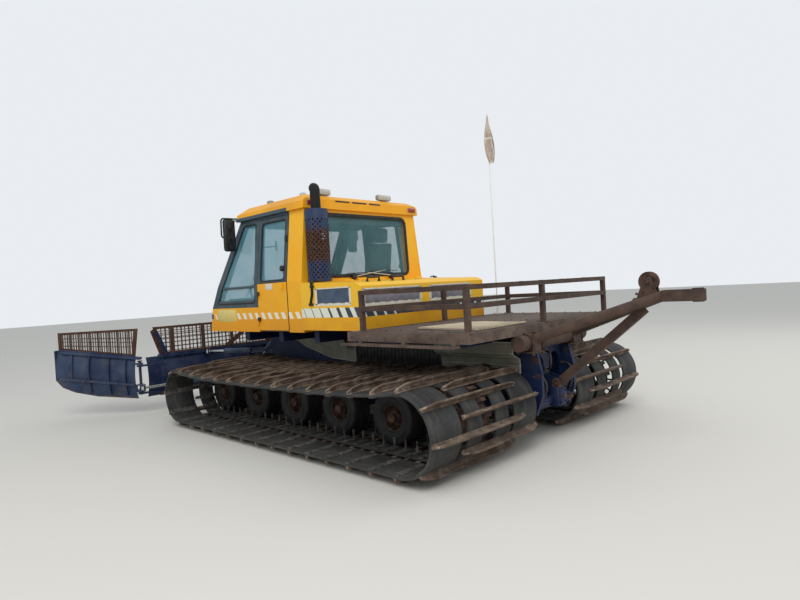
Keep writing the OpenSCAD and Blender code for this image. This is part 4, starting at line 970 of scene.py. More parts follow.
def blade_fittings():
    """On the blade: its worn cutting edge, the bolts that hold it and the nuts on the hinge pins."""
    x, back = BOARD_BACK + 58, (-1, 0, 0)
    outline = [(x + a, 222 + b) for a, b in ((-4, 2), (24, 2), (20, 20), (6, 96), (-18, 96))]
    bolts = Shape().bolts([(BOARD_BACK + 36, y, 282) for y in np.linspace(-1480, 1480, 20)], (-1, 0, -0.3), 13, 12)
    for side in (1, -1):
        for z in (714, 360, 322):
            bolts.bolts([(HINGE_X, side * HINGE_Y, z + 46)], (0, 0, 1), 26, 12)
        for y in (316, 1196, 1484):
            for z in (520, 620, 720):
                bolts.bolts([(BOARD_BACK - 4, side * y, z)], back, 12, 9)
        bolts.bolts([(HINGE_X, side * HINGE_Y, 764)], (0, 0, 1), 34, 16)
    for y in (-1330, -830, -330, 330, 830, 1330):
        for z in (850, 1215):
            bolts.bolts([(HINGE_X - 35, y, z)], back, 12, 8)
    return Shape(slab_xz(outline, -1538, 1538)), bolts


def blade_ends():
    """The curved plates at the blade's ends, each an upright strip carried up the moldboard's arc, and the flat
    braces of its screen with their feet."""
    shape = Shape()
    z = np.linspace(236, 812, 14)
    x = HINGE_X - 70
    for side in (1, -1):
        path = np.column_stack([HINGE_X + board_face(z) + 6, np.full(14, side * 1630), z])
        shape.join(carried(path, rounded(11, 192, 2, 2), (0, 1, 0)))
        shape.join(carried([(x, side * 1440, 826), (x, side * 1584, 1170)], rounded(62, 14, 3, 3), (1, 0, 0)))
        for y, z0 in ((1448, 844), (1580, 1160)):
            shape.box((x - 2, x + 40), sorted((side * (y - 24), side * (y + 24))), (z0 - 16, z0 + 16))
    return shape


WING_L, WING_FOLD, WING_RISE = 1190, 45, 165


def wing_place(points):
    """Puts a point of the left wing, drawn straight out from its hinge, where the folded wing stands."""
    return np.asarray(points, float) @ turn_about((0, 0, 1), -WING_FOLD).T + [HINGE_X, HINGE_Y, 0]


def wing_fittings(side):
    """On a wing: upright slats of its screen, the cutting edge along its lower outline with saw teeth, ribs on its
    back and bolts. All are drawn straight out from the hinge and then folded."""
    slats, edge = Shape(), Shape()
    for y in np.arange(92, 1096, 31.0):
        slats.join(plain_box((-5, 5), (y - 5, y + 5), (840 + (y - 40) * 0.14, 1226)))
    for low, high in ((985, 1060), (1115, 1164)):
        slats.join(carried([(0, 90, low), (0, 1120, high)], rounded(9, 14, 2, 2)))
    outline = np.array([(66, 231), (640, 296), (960, 376), (1116, 459), (1182, 560)], float)
    steps = np.arange(60)
    y, z = spaced(outline, len(steps)).T
    tooth = np.where(steps > 26, 26 * (steps % 2), 0)
    rise = WING_RISE / WING_L
    face = board_face(z - y * rise)
    corners = ((-6, 44, 0), (-6, -2, 1), (12, -2, 1), (12, 44, 0))
    points = np.stack([np.column_stack([face + dx, y, z + dz + tooth * cut]) for dx, dz, cut in corners], 1)
    edge.join((points, [f[:, ::-1] for f in tube_faces(len(steps), 4)]))
    for y in (180, 420, 700):
        zs = np.linspace(np.interp(y, *outline.T) + 40, 800 + y * 0.14, 9)
        path = np.column_stack([board_face(zs - y * rise) - 24, np.full(9, y), zs])
        slats.join(carried(path, rounded(12, 36, 2, 2), (1, 0, 0)), 1)
    places = [(-94, y, 431 + y * 0.1387) for y in np.linspace(160, 1100, 7)]
    bolts = Shape(bolts_at(places, (-1, 0, 0), 12, 9))
    shapes = [shape.placed(wing_place) for shape in (slats, edge, bolts)]
    return shapes if side > 0 else [shape.flipped() for shape in shapes]


def board_face(z):
    """Distance of the wing moldboard's back from its hinge line at a height: an arc of radius 700 mm."""
    mid = (225 + 820) / 2
    return -60 + 700 - np.sqrt(np.clip(700.0**2 - (np.asarray(z, float) - mid) ** 2, 0, None))


# Soft goods


def pad_shape(size, crown, pinch, n=22):
    """A cushion: a box grid pushed out to a crowned closed form. Both its faces bulge by crown times a product of
    cosines, and its sides pull in by pinch between the corners."""
    sx, sy, sz = (s / 2 for s in size)
    u, v = np.meshgrid(np.linspace(-1, 1, n), np.linspace(-1, 1, n), indexing="ij")
    reach = 1 - pinch * (1 - v**2) * u**2 * 0.5
    wide = 1 - pinch * (1 - u**2) * v**2 * 0.5
    squeeze = (1 - np.abs(u) ** 7) * (1 - np.abs(v) ** 7)
    thick = sz * (0.55 + 0.45 * squeeze**0.35) + crown * np.cos(u * math.pi / 2) * np.cos(v * math.pi / 2)
    corner = 1 - 0.05 * (u * v) ** 4
    top = np.stack([u * sx * reach * corner, v * sy * wide * corner, thick], -1)
    return np.stack([top * [1, 1, -1], top]).reshape(-1, 3), sheet_faces(n, n)


def filled(thing, cap, frames):
    """Lets a closed pad swell as Blender's cloth under its filling's pressure, without gravity, and keeps every
    point within cap millimetres of where it began."""
    start = points_of(thing.data)
    cloth = thing.modifiers.new("Filling", "CLOTH")
    cloth.settings.use_pressure = True
    cloth.settings.uniform_pressure_force = 4
    cloth.settings.effector_weights.gravity = 0
    cloth.settings.mass = 0.3
    cloth.point_cache.frame_end = frames
    scene = bpy.context.scene
    for k in range(1, frames + 1):
        scene.frame_set(k)
    solved = thing.evaluated_get(bpy.context.evaluated_depsgraph_get())
    move = points_of(solved.to_mesh()) - start
    solved.to_mesh_clear()
    thing.modifiers.remove(cloth)
    scene.frame_set(1)
    length = np.linalg.norm(move, axis=1, keepdims=True)
    move *= np.minimum(1, cap / 1000 / np.maximum(length, 1e-9))
    thing.data.vertices.foreach_set("co", (start + move).ravel())
    thing.data.update()


SEAT_Y = 600  # distance of a seat's middle from the machine's
# The seats' pads: name, size, middle above the cab floor, tilt about Y, crown
PADS = (
    ("cushion", (510, 480, 110), (90, 0, 392), 0, 16),
    ("back", (96, 500, 640), (-150, 0, 780), 8, 14),
    ("headrest", (88, 290, 190), (-204, 0, 1196), 5, 14),
)


def seam(size, place, turn, r):
    """The piping round a pad: a cord carried round its middle, rounded at the corners."""
    a, b = size
    path = arc_path([(-a, -b, 0), (a, -b, 0), (a, b, 0), (-a, b, 0)], min(a, b) * 0.3, 6, True)
    return moved(carried(path, circle(r, 8), (0, 0, 1), True), turn, place)


# The flag pole's station, its distance from the middle and its top, and how far the cloth reaches
FLAG_X, FLAG_Y, FLAG_TOP, FLAG_REACH = 1545, -1270, 3835, 135


def pennant(drop):
    """A limp pennant hanging from the pole's tip: a sheet in two parameters, down the pole and across the cloth. It
    is a leaf that widens to two thirds of its drop and then narrows, gathered in three folds that deepen with the
    width, its tail swung to one side."""
    t, u = np.meshgrid(np.linspace(0, 1, 64), np.linspace(-1, 1, 25), indexing="ij")
    wide = FLAG_REACH * (0.08 + np.sin(np.clip(t, 0, 1) ** 1.2 * math.pi * 0.86) * 0.9)
    middle = -26 * t**2 * np.sin(t * 3) - 30 * t**4
    across = middle + wide * 0.5 * np.sin(u * 1.35)
    fold = wide * 0.32 * np.cos(u * 7 + t * 3) * (0.3 + t) + 6 * np.sin(9 * t + 2 * u)
    x = FLAG_X - 16 + 0.72 * across - 0.4 * fold - 12 * np.cos(u * 2)
    y = FLAG_Y + 0.69 * across + 0.42 * fold + 24
    return np.stack([x, y, FLAG_TOP - drop * t - 20 * np.abs(u) ** 3 * (1 - t)], -1)


# Finishes

# Nodes that are added often: the kind, its settings and, where it isn't the first, the output that is used
MIX = ("Mix", {"data_type": "RGBA"}, 2)
STEP = ("MapRange", {"interpolation_type": "SMOOTHSTEP"})
PLUS, MINUS, TIMES, OVER, LARGER, SIZE_OF, ABOVE, BELOW, REST_OF = (
    ("Math", {"operation": kind})
    for kind in "ADD SUBTRACT MULTIPLY DIVIDE MAXIMUM ABSOLUTE GREATER_THAN LESS_THAN FRACT".split()
)


def srgb(text):
    """A hex colour as it is seen, turned to Blender's linear light."""
    c = np.array([int(text[i : i + 2], 16) for i in (1, 3, 5)]) / 255
    return tuple(np.where(c <= 0.04045, c / 12.92, ((c + 0.055) / 1.055) ** 2.4)) + (1.0,)


def picked(colour):
    """The hex text of a colour that the user picked in a property."""
    c = np.clip(np.array(colour[:3], float), 0, 1)
    c = np.where(c <= 0.0031308, c * 12.92, 1.055 * c ** (1 / 2.4) - 0.055)
    return "#%02x%02x%02x" % tuple(int(round(v * 255)) for v in c)


def add(tree, kind, settings=None, out=0, **inputs):
    """Adds a shader node with its settings and links, and gives its output out. Each other word names an input,
    or gives its number after an underscore; a socket is linked to it and anything else is set."""
    node = tree.nodes.new("ShaderNode" + kind)
    for key, value in (settings or {}).items():
        setattr(node, key, value)
    for key, value in inputs.items():
        socket = node.inputs[int(key[1:]) if key[0] == "_" else key.replace("_", " ")]
        if isinstance(value, bpy.types.NodeSocket):
            tree.links.new(value, socket)
        else:
            socket.default_value = value
    return node.outputs[out] if len(node.outputs) else None


def new_finish(name):
    """An empty material and its tree, with the object's own coordinates in metres."""
    made = bpy.data.materials.new(name)
    made.use_nodes = True
    tree = made.node_tree
    tree.nodes.clear()
    return made, tree, add(tree, "TexCoord", out="Object")


def shaded(tree, colour, roughness, metallic=0.0, bump=None, height=1.0, distance=0.002, **more):
    """Ends a material in a Principled shader; bump is a grey pattern that raises the surface."""
    if bump is not None:
        more["Normal"] = add(tree, "Bump", Strength=height, Distance=distance, Height=bump)
    shader = add(tree, "BsdfPrincipled", Base_Color=colour, Roughness=roughness, Metallic=metallic, **more)
    add(tree, "OutputMaterial", Surface=shader)


def patches(tree, place, size, low=0.3, high=0.7, detail=6.0, rough=0.6, stretch=(1, 1, 1)):
    """Blotches about size millimetres across, from 0 where the noise is below low to 1 above high, and longer
    along an axis where stretch is less than one."""
    where = add(tree, "Mapping", Vector=place, Scale=stretch)
    cloud = add(tree, "TexNoise", Vector=where, Scale=1000 / size, Detail=detail, Roughness=rough)
    return add(tree, *STEP, Value=cloud, From_Min=low, From_Max=high)


def dusted(tree, place, colour, dust, amount, size=180):
    """Pale dirt that has dried in cloudy patches and lies thicker on faces that look up."""
    up = add(tree, "SeparateXYZ", out=2, Vector=add(tree, "NewGeometry", out="Normal"))
    lying = add(tree, *STEP, Value=up, From_Min=0.2, From_Max=1.0, To_Max=0.35 * amount)
    cloud = add(tree, *TIMES, _0=patches(tree, place, size, 0.42, 0.72), _1=amount)
    share = add(tree, *PLUS, _0=cloud, _1=lying)
    return add(tree, *MIX, _0=share, _6=colour, _7=srgb(dust))


def enamel(name, coat, deep, rough=0.38, dust_share=0.2, skirt=None):
    """Sprayed two-pack enamel on sheet steel: an even film with a slight orange peel, bleached in clouds and dulled
    by dust. skirt is another coat for what lies below a height and in front of a station, with both in metres."""
    made, tree, place = new_finish(name)
    cloud = patches(tree, place, 700, 0.35, 0.7, 3)
    colour = add(tree, *MIX, _0=cloud, _6=srgb(coat), _7=srgb(deep))
    colour = dusted(tree, place, colour, "#b9a88c", dust_share)
    if skirt:
        x, z = (add(tree, "SeparateXYZ", out=k, Vector=place) for k in (0, 2))
        low = add(tree, *BELOW, _0=z, _1=skirt[1])
        share = add(tree, *TIMES, _0=low, _1=add(tree, *ABOVE, _0=x, _1=skirt[2]))
        colour = add(tree, *MIX, _0=share, _6=colour, _7=srgb(skirt[0]))
    peel = patches(tree, place, 7, 0, 1, 2)
    shaded(tree, colour, rough, bump=peel, height=0.05, Specular_IOR_Level=0.3)
    return made


def worn_paint(name, coat, faded, gone, dust_share, size, rust="#5d3b2b", heat=None, screen=None):
    """Farm-grade enamel on a weldment: scuffed matt, rusted through in blotches that break up into flecks, and
    dusty. gone is about how much of it has come off. Round the middle of heat, a pair of heights in metres, it is
    burnt off. Above screen, (height, rise a metre outwards, distance to the side from which it rises), the steel
    was never painted."""
    made, tree, place = new_finish(name)
    cloud = patches(tree, place, 400, 0.35, 0.7)
    colour = add(tree, *MIX, _0=cloud, _6=srgb(coat), _7=srgb(faded))
    scuff = patches(tree, place, 60, 0.58, 0.74, 8, 0.75, (1, 1, 0.2))
    colour = add(tree, *MIX, _0=scuff, _6=colour, _7=srgb(faded))
    line = 0.72 - 0.28 * gone
    bare = patches(tree, place, size, line - 0.015, line + 0.02, 9, 0.72)
    if heat:
        z = add(tree, "SeparateXYZ", out=2, Vector=place)
        half = (heat[1] - heat[0]) / 2
        off = add(tree, *SIZE_OF, _0=add(tree, *MINUS, _0=z, _1=heat[0] + half))
        near = add(tree, *STEP, Value=off, From_Min=half * 1.25, From_Max=half * 0.75)
        burnt = add(tree, *TIMES, _0=near, _1=patches(tree, place, size, 0.36, 0.42, 9, 0.72))
        bare = add(tree, *LARGER, _0=bare, _1=burnt)
    if screen:
        low, rise, start = screen
        y, z = (add(tree, "SeparateXYZ", out=k, Vector=place) for k in (1, 2))
        off = add(tree, *MINUS, _0=add(tree, *SIZE_OF, _0=y), _1=start)
        beyond = add(tree, *LARGER, _0=0.0, _1=off)
        line = add(tree, *PLUS, _0=low, _1=add(tree, *TIMES, _0=beyond, _1=rise))
        bare = add(tree, *LARGER, _0=bare, _1=add(tree, *ABOVE, _0=z, _1=line))
    crust = add(tree, *MIX, _0=patches(tree, place, 25), _6=srgb("#35241c"), _7=srgb(rust))
    colour = add(tree, *MIX, _0=bare, _6=colour, _7=crust)
    colour = dusted(tree, place, colour, "#8d7f6c", dust_share)
    rough = add(tree, "MapRange", Value=bare, To_Min=0.45, To_Max=0.85)
    grit = add(tree, *MINUS, _0=patches(tree, place, 6, 0, 1), _1=bare)
    shaded(tree, colour, rough, bump=grit, height=0.3, distance=0.0012, Specular_IOR_Level=0.3)
    return made


def bare_rust(name, light, dark, pale, pale_share, size, grain):
    """Hot-rolled steel left bare and weathered brown: blotches over a fine crust, with paler dry dirt."""
    made, tree, place = new_finish(name)
    blotch = patches(tree, place, size, 0.36, 0.66, 8, 0.65, grain)
    colour = add(tree, *MIX, _0=blotch, _6=srgb(dark), _7=srgb(light))
    streak = add(tree, *TIMES, _0=patches(tree, place, 18, 0.55, 0.75, 6, 0.7, grain), _1=0.45)
    colour = add(tree, *MIX, _0=streak, _6=colour, _7=srgb("#6b4733"))
    colour = dusted(tree, place, colour, pale, pale_share, 120)
    shaded(tree, colour, 0.82, bump=patches(tree, place, 5, 0, 1), height=0.4, distance=0.0012)
    return made


# Safety stripes of the cab's side and of the hood, which goes on round its rear corner. Each has the band's two
# edges, the lean of its slashes and their pitch in metres, the station where it starts, and how much of the pitch
# is dark along it: (metres to the rear, share)
CAB_BAND = ((1316, 1398), 0.55, 0.150, 4945, ((0, 0.1), (0.5, 0.45), (2.2, 0.5)))
HOOD_BAND = (
    (1328, 1436),
    0.5,
    0.150,
    2700,
    ((0, 0.06), (0.35, 0.1), (0.5, 0.22), (0.68, 0.36), (0.86, 0.5), (1.06, 0.72), (1.6, 0.8), (1.66, 1), (2.2, 1)),
)


def striped_enamel(name, coat, deep, stripes, base, slash, around=None, upper=None):
    """The cab's and hood's amber enamel with its safety band of slanted slashes on a base colour, sprayed through
    a mask and worn through in flecks. Below the band the coat is deeper. The slashes widen or narrow along the
    band; around is the half width at whose corner the band turns onto the hood's rear face. upper is another coat
    for what lies above a height and in front of a station, with both in metres."""
    made, tree, place = new_finish(name)
    (low, high), lean, pitch, start, widths = stripes
    x, y, z = (add(tree, "SeparateXYZ", out=k, Vector=place) for k in range(3))
    cloud = patches(tree, place, 700, 0.35, 0.7, 3)
    clean = add(tree, *MIX, _0=cloud, _6=srgb(coat), _7=srgb("#f9bb1c"))
    toned = add(tree, *MIX, _0=cloud, _6=srgb(deep), _7=srgb("#e29a10"))
    under = add(tree, *BELOW, _0=z, _1=low / 1000)
    colour = add(tree, *MIX, _0=under, _6=clean, _7=toned)
    along = add(tree, *MINUS, _0=(start - MID_X) / 1000, _1=x)
    if around is not None:
        from_corner = add(tree, *MINUS, _0=around / 1000, _1=add(tree, *SIZE_OF, _0=y))
        along = add(tree, *PLUS, _0=along, _1=add(tree, *LARGER, _0=from_corner, _1=0.0))
    slanted = add(tree, *PLUS, _0=along, _1=add(tree, *TIMES, _0=z, _1=lean))
    phase = add(tree, *REST_OF, _0=add(tree, *OVER, _0=slanted, _1=pitch))
    reach = widths[-1][0]
    ramp = add(tree, "ValToRGB", Fac=add(tree, *OVER, _0=along, _1=reach)).node
    for k, (at, share) in enumerate(widths):
        stop = ramp.color_ramp.elements[k] if k < 2 else ramp.color_ramp.elements.new(at / reach)
        stop.position, stop.color = at / reach, (share, share, share, 1)
    marked = add(tree, *BELOW, _0=phase, _1=ramp.outputs[0])
    band = add(tree, *MIX, _0=marked, _6=srgb(base), _7=srgb(slash))
    over_low, under_high = add(tree, *ABOVE, _0=z, _1=low / 1000), add(tree, *BELOW, _0=z, _1=high / 1000)
    inside = add(tree, *TIMES, _0=over_low, _1=under_high)
    kept = add(tree, *MINUS, _0=1.0, _1=patches(tree, place, 40, 0.64, 0.67, 8, 0.7))
    colour = add(tree, *MIX, _0=add(tree, *TIMES, _0=inside, _1=kept), _6=colour, _7=band)
    colour = dusted(tree, place, colour, "#b9a88c", 0.05)
    speck = patches(tree, place, 16, 0.7, 0.73, 8, 0.72)
    colour = add(tree, *MIX, _0=speck, _6=colour, _7=srgb("#6a4a2a"))
    if upper:
        coat, height, front = upper
        share = add(tree, *TIMES, _0=add(tree, *ABOVE, _0=z, _1=height), _1=add(tree, *ABOVE, _0=x, _1=front))
        colour = add(tree, *MIX, _0=share, _6=colour, _7=srgb(coat))
    shaded(tree, colour, 0.4, bump=patches(tree, place, 7, 0, 1, 2), height=0.05, Specular_IOR_Level=0.3)
    return made


def glazing(name, tint_and_sky_reflection, veil_and_reflection):
    """Laminated safety glass, faintly green and hazed by dust. Its pale teal base colour, lit like a matt film over the
    opening, is partly the glass's tint and partly a painted reflection of the sky; the last number is how much it hides
    what is behind it.
    """
    made, tree, place = new_finish(name)
    haze = patches(tree, place, 300, 0.3, 0.8, 4)
    share = add(tree, "MapRange", Value=haze, To_Min=veil_and_reflection - 0.04, To_Max=veil_and_reflection + 0.06)
    # The teal base colour is partly the glass's tint and partly painted sky reflection.
    shaded(tree, srgb(tint_and_sky_reflection), 0.06, Alpha=share, Coat_Weight=0.4)
    return made


def moulded(name, colour, rough, dust_share):
    """Injection-moulded plastic or rubber with a fine leather grain, greyed by dust."""
    made, tree, place = new_finish(name)
    tone = dusted(tree, place, srgb(colour), "#8f8272", dust_share, 90)
    shaded(tree, tone, rough, bump=patches(tree, place, 3, 0, 1, 3), height=0.15, distance=0.0006)
    return made


def film(name, colour, specks, chips, share):
    """Vinyl film on sheet steel, sun-bleached in clouds, with dark dirt specks and flecks where it has peeled to
    the white backing."""
    made, tree, place = new_finish(name)
    tone = add(tree, *MIX, _0=patches(tree, place, 120), _6=srgb(colour), _7=srgb(specks))
    dirt = patches(tree, place, 9, 0.66, 0.7, 6, 0.7)
    tone = add(tree, *MIX, _0=dirt, _6=tone, _7=srgb("#2a2b2d"))
    bare = patches(tree, place, 35, 0.7 - share, 0.72 - share, 8, 0.7)
    tone = add(tree, *MIX, _0=bare, _6=tone, _7=srgb(chips))
    shaded(tree, tone, 0.42, bump=bare, height=0.1, distance=0.0005)
    return made


def bright_metal(name, colour, rough):
    """Hard chrome or bright steel with a film of dust; the metal is drawn along its length."""
    made, tree, place = new_finish(name)
    tone = add(tree, *MIX, _0=patches(tree, place, 40, 0.45, 0.8), _6=srgb(colour), _7=srgb("#8d867c"))
    shaded(tree, tone, rough, 1.0, bump=patches(tree, place, 4, 0, 1, 2), height=0.03)
    return made


def belting(name, base, dust, dust_share):
    """Fabric-cored conveyor rubber: matt black, grey with dried dust, with the weave of its cover every 4 mm,
    drawn at 8 mm so that it shows."""
    made, tree, place = new_finish(name)
    colour = add(tree, *MIX, _0=patches(tree, place, 240), _6=srgb(base), _7=srgb("#363635"))
    smear = patches(tree, place, 90, 0.45, 0.75, 8, 0.7, (0.3, 1, 0.3))
    smear = add(tree, *TIMES, _0=smear, _1=dust_share)
    colour = add(tree, *MIX, _0=smear, _6=colour, _7=srgb(dust))
    z = add(tree, "SeparateXYZ", out=2, Vector=place)
    low = add(tree, *STEP, Value=z, From_Min=0.2, From_Max=0.03, To_Max=0.14)
    colour = add(tree, *MIX, _0=low, _6=colour, _7=srgb(dust))
    weave = add(tree, "TexWave", {"bands_direction": "Y"}, 1, Vector=place, Scale=1000 / 8 / 6.28)
    shaded(tree, colour, 0.8, bump=weave, height=0.12, distance=0.0008)
    return made


def tyre_rubber(name, base, mud):
    """Black tyre rubber with brown mud in patches."""
    made, tree, place = new_finish(name)
    colour = add(tree, *MIX, _0=patches(tree, place, 120, 0.42, 0.78), _6=srgb(base), _7=srgb(mud))
    shaded(tree, colour, 0.68, bump=patches(tree, place, 4, 0, 1, 4), height=0.25)
    return made


def plywood(name, light, dark):
    """Weathered birch plywood: a grey-tan face veneer with its grain 6 mm apart along X and darker knots."""
    made, tree, place = new_finish(name)
    grain = patches(tree, place, 30, 0.3, 0.7, 8, 0.65, (0.06, 1, 1))
    colour = add(tree, *MIX, _0=grain, _6=srgb(dark), _7=srgb(light))
    knots = add(tree, *TIMES, _0=patches(tree, place, 160, 0.66, 0.74, 3), _1=0.6)
    colour = add(tree, *MIX, _0=knots, _6=colour, _7=srgb("#5e4a38"))
    shaded(tree, colour, 0.85, bump=grain, height=0.2, distance=0.001)
    return made


def woven(name, light, dark, pitch=2.0):
    """Plain-woven cloth, warp and weft every pitch millimetres drawn on the piece's own coordinates."""
    made, tree, place = new_finish(name)
    scale = 1000 / pitch / 6.28
    warp = add(tree, "TexWave", {"bands_direction": "Y"}, 1, Vector=place, Scale=scale)
    weft = add(tree, "TexWave", {"bands_direction": "Z"}, 1, Vector=place, Scale=scale)
    tone = add(tree, *MIX, _0=patches(tree, place, 80, 0.35, 0.7), _6=srgb(light), _7=srgb(dark))
    threads = add(tree, *PLUS, _0=warp, _1=weft)
    shaded(tree, tone, 0.9, bump=threads, height=0.3, distance=0.0006, Sheen_Weight=0.3)
    return made


F = {}  # the finishes by their names


def make_finishes(look):
    """Every finish of the machine, by its key in F."""
    coat, blue, slate, rubber = (picked(colour) for colour in (look.coat, look.hull, look.frames, look.rubber))
    for key, name, height, front in (
        ("cab", "Amber cab enamel", 2.598, 0.398),
        ("door", "Amber and slate door enamel", 1.77, -9),
    ):
        upper = slate, height, front
        F[key] = striped_enamel(name, coat, "#efa00a", CAB_BAND, coat, "#efeedd", upper=upper)
    F["hood"] = striped_enamel("Amber hood enamel", "#f6c02c", "#f3b214", HOOD_BAND, "#e9e8d4", "#3a434e", HOOD_HALF)
    F["roof"] = enamel("Amber roof enamel", coat, "#e9a00a", 0.4, 0.05, (slate, 2.684, 0.4))
    F["slate"] = enamel("Slate frame enamel", slate, "#33444c", 0.5, 0.1)
    for key, name, fresh, faded, gone, dust, size, more in (
        ("blue", "Blue chassis enamel", blue, "#1f2d49", 0.4, 0.05, 90, {}),
        ("blade", "Blue blade enamel", "#182442", "#2c3b58", 0.3, 0.1, 90, {"screen": (0.842, 0, 2)}),
        ("wing", "Scuffed wing enamel", "#202f4e", "#3a4a63", 0.3, 0.12, 90, {"screen": (0.848, 0.196, 1.82)}),
        ("olive", "Olive panel enamel", "#7c7a6a", "#949282", 0.05, 0.2, 90, {}),
        # Pale strips on the side covers' edges and folds.
        ("olive edge", "Pale olive edge strips", "#a9a798", "#b7b4a4", 0.2, 0.2, 40, {}),
        ("barrel", "Blue-grey barrel enamel", "#2b3b52", "#46556a", 0.25, 0.15, 90, {}),
        ("guard", "Blue guard enamel", "#26385a", "#303f5c", 0.5, 0.05, 60, {"rust": "#55382c", "heat": (1.98, 2.36)}),
    ):
        F[key] = worn_paint(name, fresh, faded, gone=gone, dust_share=dust, size=size, **more)
    even, short = (1, 1, 1), (1, 0.3, 1)
    for key, name, light, dark, pale, dust, size, grain in (
        ("rust", "Weathered steel", "#513b30", "#392a23", "#7c6a5b", 0.15, 140, even),
        ("deck", "Deck plate", "#65554a", "#4c3c34", "#7d6b5d", 0.35, 140, even),
        ("bar", "Crossbar steel", "#65503f", "#38291f", "#a08e7c", 0.42, 60, short),
        # The crossbar ends' pale colours are partly wear and partly a painted highlight.
        ("bar end", "Crossbar end, worn pale and painted highlight", "#8c7867", "#5c4a3c", "#b3a18d", 0.4, 60, even),
        ("track plate", "Zinc-plated track plate", "#5c5a56", "#2b2a29", "#8a857b", 0.3, 60, even),
        ("screen", "Screen mesh steel", "#665248", "#41332c", "#8d7b6c", 0.3, 60, even),
        ("edge", "Worn cutting edge", "#6e5342", "#3f2f27", "#98836d", 0.3, 60, even),
        ("hub", "Cast hub", "#5b3c2b", "#201713", "#8a7766", 0.15, 60, even),
        ("engine", "Oily engine iron", "#2a2624", "#141312", "#3a332c", 0.25, 60, even),
    ):
        F[key] = bare_rust(name, light, dark, pale, dust, size, grain)
    for key, name, colour, rough, dust in (
        ("black", "Black polypropylene", "#101112", 0.5, 0.15),
        ("seal", "Window rubber", "#101314", 0.6, 0.08),
        ("lining", "Cab lining", "#2b3337", 0.7, 0.15),
        ("mat", "Ribbed floor mat", "#17181a", 0.75, 0.15),
        ("soot", "Heat-blackened pipe", "#0a0909", 0.8, 0.0),
        ("pole", "White fibreglass", "#f3f2ec", 0.4, 0.0),
        ("lens", "Clear polycarbonate lens", "#bab8ae", 0.15, 0.15),
        ("red lens", "Red acrylic lens", "#a02012", 0.2, 0.2),
        ("lamp body", "Bleached lamp housing", "#8d8a80", 0.5, 0.15),
        ("arm", "Bleached wiper arm", "#c5c2b8", 0.4, 0.15),
        ("hose", "Hydraulic hose rubber", "#141414", 0.55, 0.3),
    ):
        F[key] = moulded(name, colour, rough, dust)
    for key, name, colour, specks, chips, share in (
        ("white", "White vinyl tape", "#e6e3d6", "#d2ccb9", "#efe9da", 0.0),
        ("side film", "Blue-grey window film", "#34445a", "#48576c", "#dcd8cb", 0.06),
        ("rear film", "Grey window film", "#77727a", "#8f8b93", "#e4e0d4", 0.06),
        ("tape", "Masking tape", "#e6cf78", "#dcc46c", "#ecdc9c", 0.02),
        ("dark tape", "Dark stripe tape", "#39434f", "#46505b", "#8a8676", 0.02),
    ):
        F[key] = film(name, colour, specks, chips, share)
    F["belt"] = belting("Track belting", rubber, "#736b60", 0.3)
    F["tyre"] = tyre_rubber("Tyre rubber", "#121213", "#2e2925")
    # Pale teal glass colours: partly tint, partly painted sky reflection.
    F["glass"] = glazing("Tinted safety glass", "#72b0be", 0.36)
    F["rear glass"] = glazing("Rear safety glass", "#6ba4b0", 0.2)
    F["chrome"] = bright_metal("Hard chrome", "#c9ccce", 0.16)
    F["zinc"] = bright_metal("Zinc-plated bolt", "#9a9388", 0.45)
    F["ply"] = plywood("Weathered plywood", "#d8c6a6", "#a5937a")
    F["flag"] = woven("Faded nylon", "#cabfb2", "#b29683", 6.0)
    F["seat"] = woven("Grey seat tweed", "#262b2f", "#353b40", 4.0)


# The CAD nodes by their finish. A name that ends in a line is that of a left and a right one
DRESS = {
    "cab": "cab_rear_wall cab_side_ cab_nose",
    "door": "door_",
    "hood": "engine_hood hood_lid",
    "roof": "cab_roof",
    "slate": "window_frame",
    "blue": "chassis_frame rear_lift_frame push_frame",
    "blade": "blade",
    "wing": "wing_",
    "olive": "side_panels",
    "guard": "exhaust_guard",
    "rust": "deck_rails boom boom_strut",
    "deck": "deck_frame",
    "hub": "sprocket_ boom_sheave",
    "belt": "track_",
    "tyre": "road_wheels_",
    "glass": "windscreen side_windows door_glass_",
    "rear glass": "rear_window",
    "black": "mirrors dashboard",
    "seat": "seats",
    "mat": "cab_floor",
    "engine": "engine_block",
    "chrome": "lift_rods angle_rod_ wing_rod_",
    "barrel": "lift_barrels angle_barrel_ wing_barrel_",
    "ply": "deck_boards",
    "pole": "flag_pole",
    "flag": "flag",
    "lens": "roof_lamps",
    "side film": "hood_panels",
}


def dress_solids():
    """Gives each CAD node its finish."""
    for finish, names in DRESS.items():
        for name in names.split():
            for side in ("left", "right") if name.endswith("_") else ("",):
                materials = NODES[name + side].data.materials
                materials.clear()
                materials.append(F[finish])


# Hydraulic hoses: name, share of the full thickness, corners of its route
HOSES = (
    ("rear_hose_left", 1, ((118, 305, 720), (30, 300, 716), (-30, 250, 600), (20, 240, 450), (118, 300, 420))),
    ("rear_hose_right", 1, ((118, -305, 740), (20, -300, 730), (-40, -240, 620), (10, -230, 460), (118, -300, 430))),
    ("rear_hose_middle", 0.85, ((118, 34, 900), (40, 60, 890), (0, 110, 800), (50, 60, 716), (118, 20, 712))),
)


# Stage

EYE = (-5.503, 5.202, 1.610)  # the photographer's phone, in the frame's metres
LOOK = (-45.98, -1.16, -3.38)  # where it looks: round Z, up, and its roll, in degrees
LAMP_SIZE = 9  # side of the soft square lamps in metres


def make_camera():
    """A phone's main lens, 26 mm on a 36 mm sensor, at the photographer's eye."""
    lens = bpy.data.cameras.new("Phone camera")
    lens.lens, lens.sensor_width, lens.clip_end = 26.0, 36.0, 200
    camera = bpy.data.objects.new("Phone camera", lens)
    turn, pitch, roll = LOOK
    matrix = np.eye(4)
    matrix[:3, :3] = turn_about((0, 0, 1), turn - 90) @ turn_about((1, 0, 0), 90 + pitch) @ turn_about((0, 0, 1), roll)
    matrix[:3, 3] = EYE
    bpy.context.scene.collection.objects.link(camera)
    camera.matrix_world = Matrix(matrix.tolist())
    bpy.context.scene.camera = camera


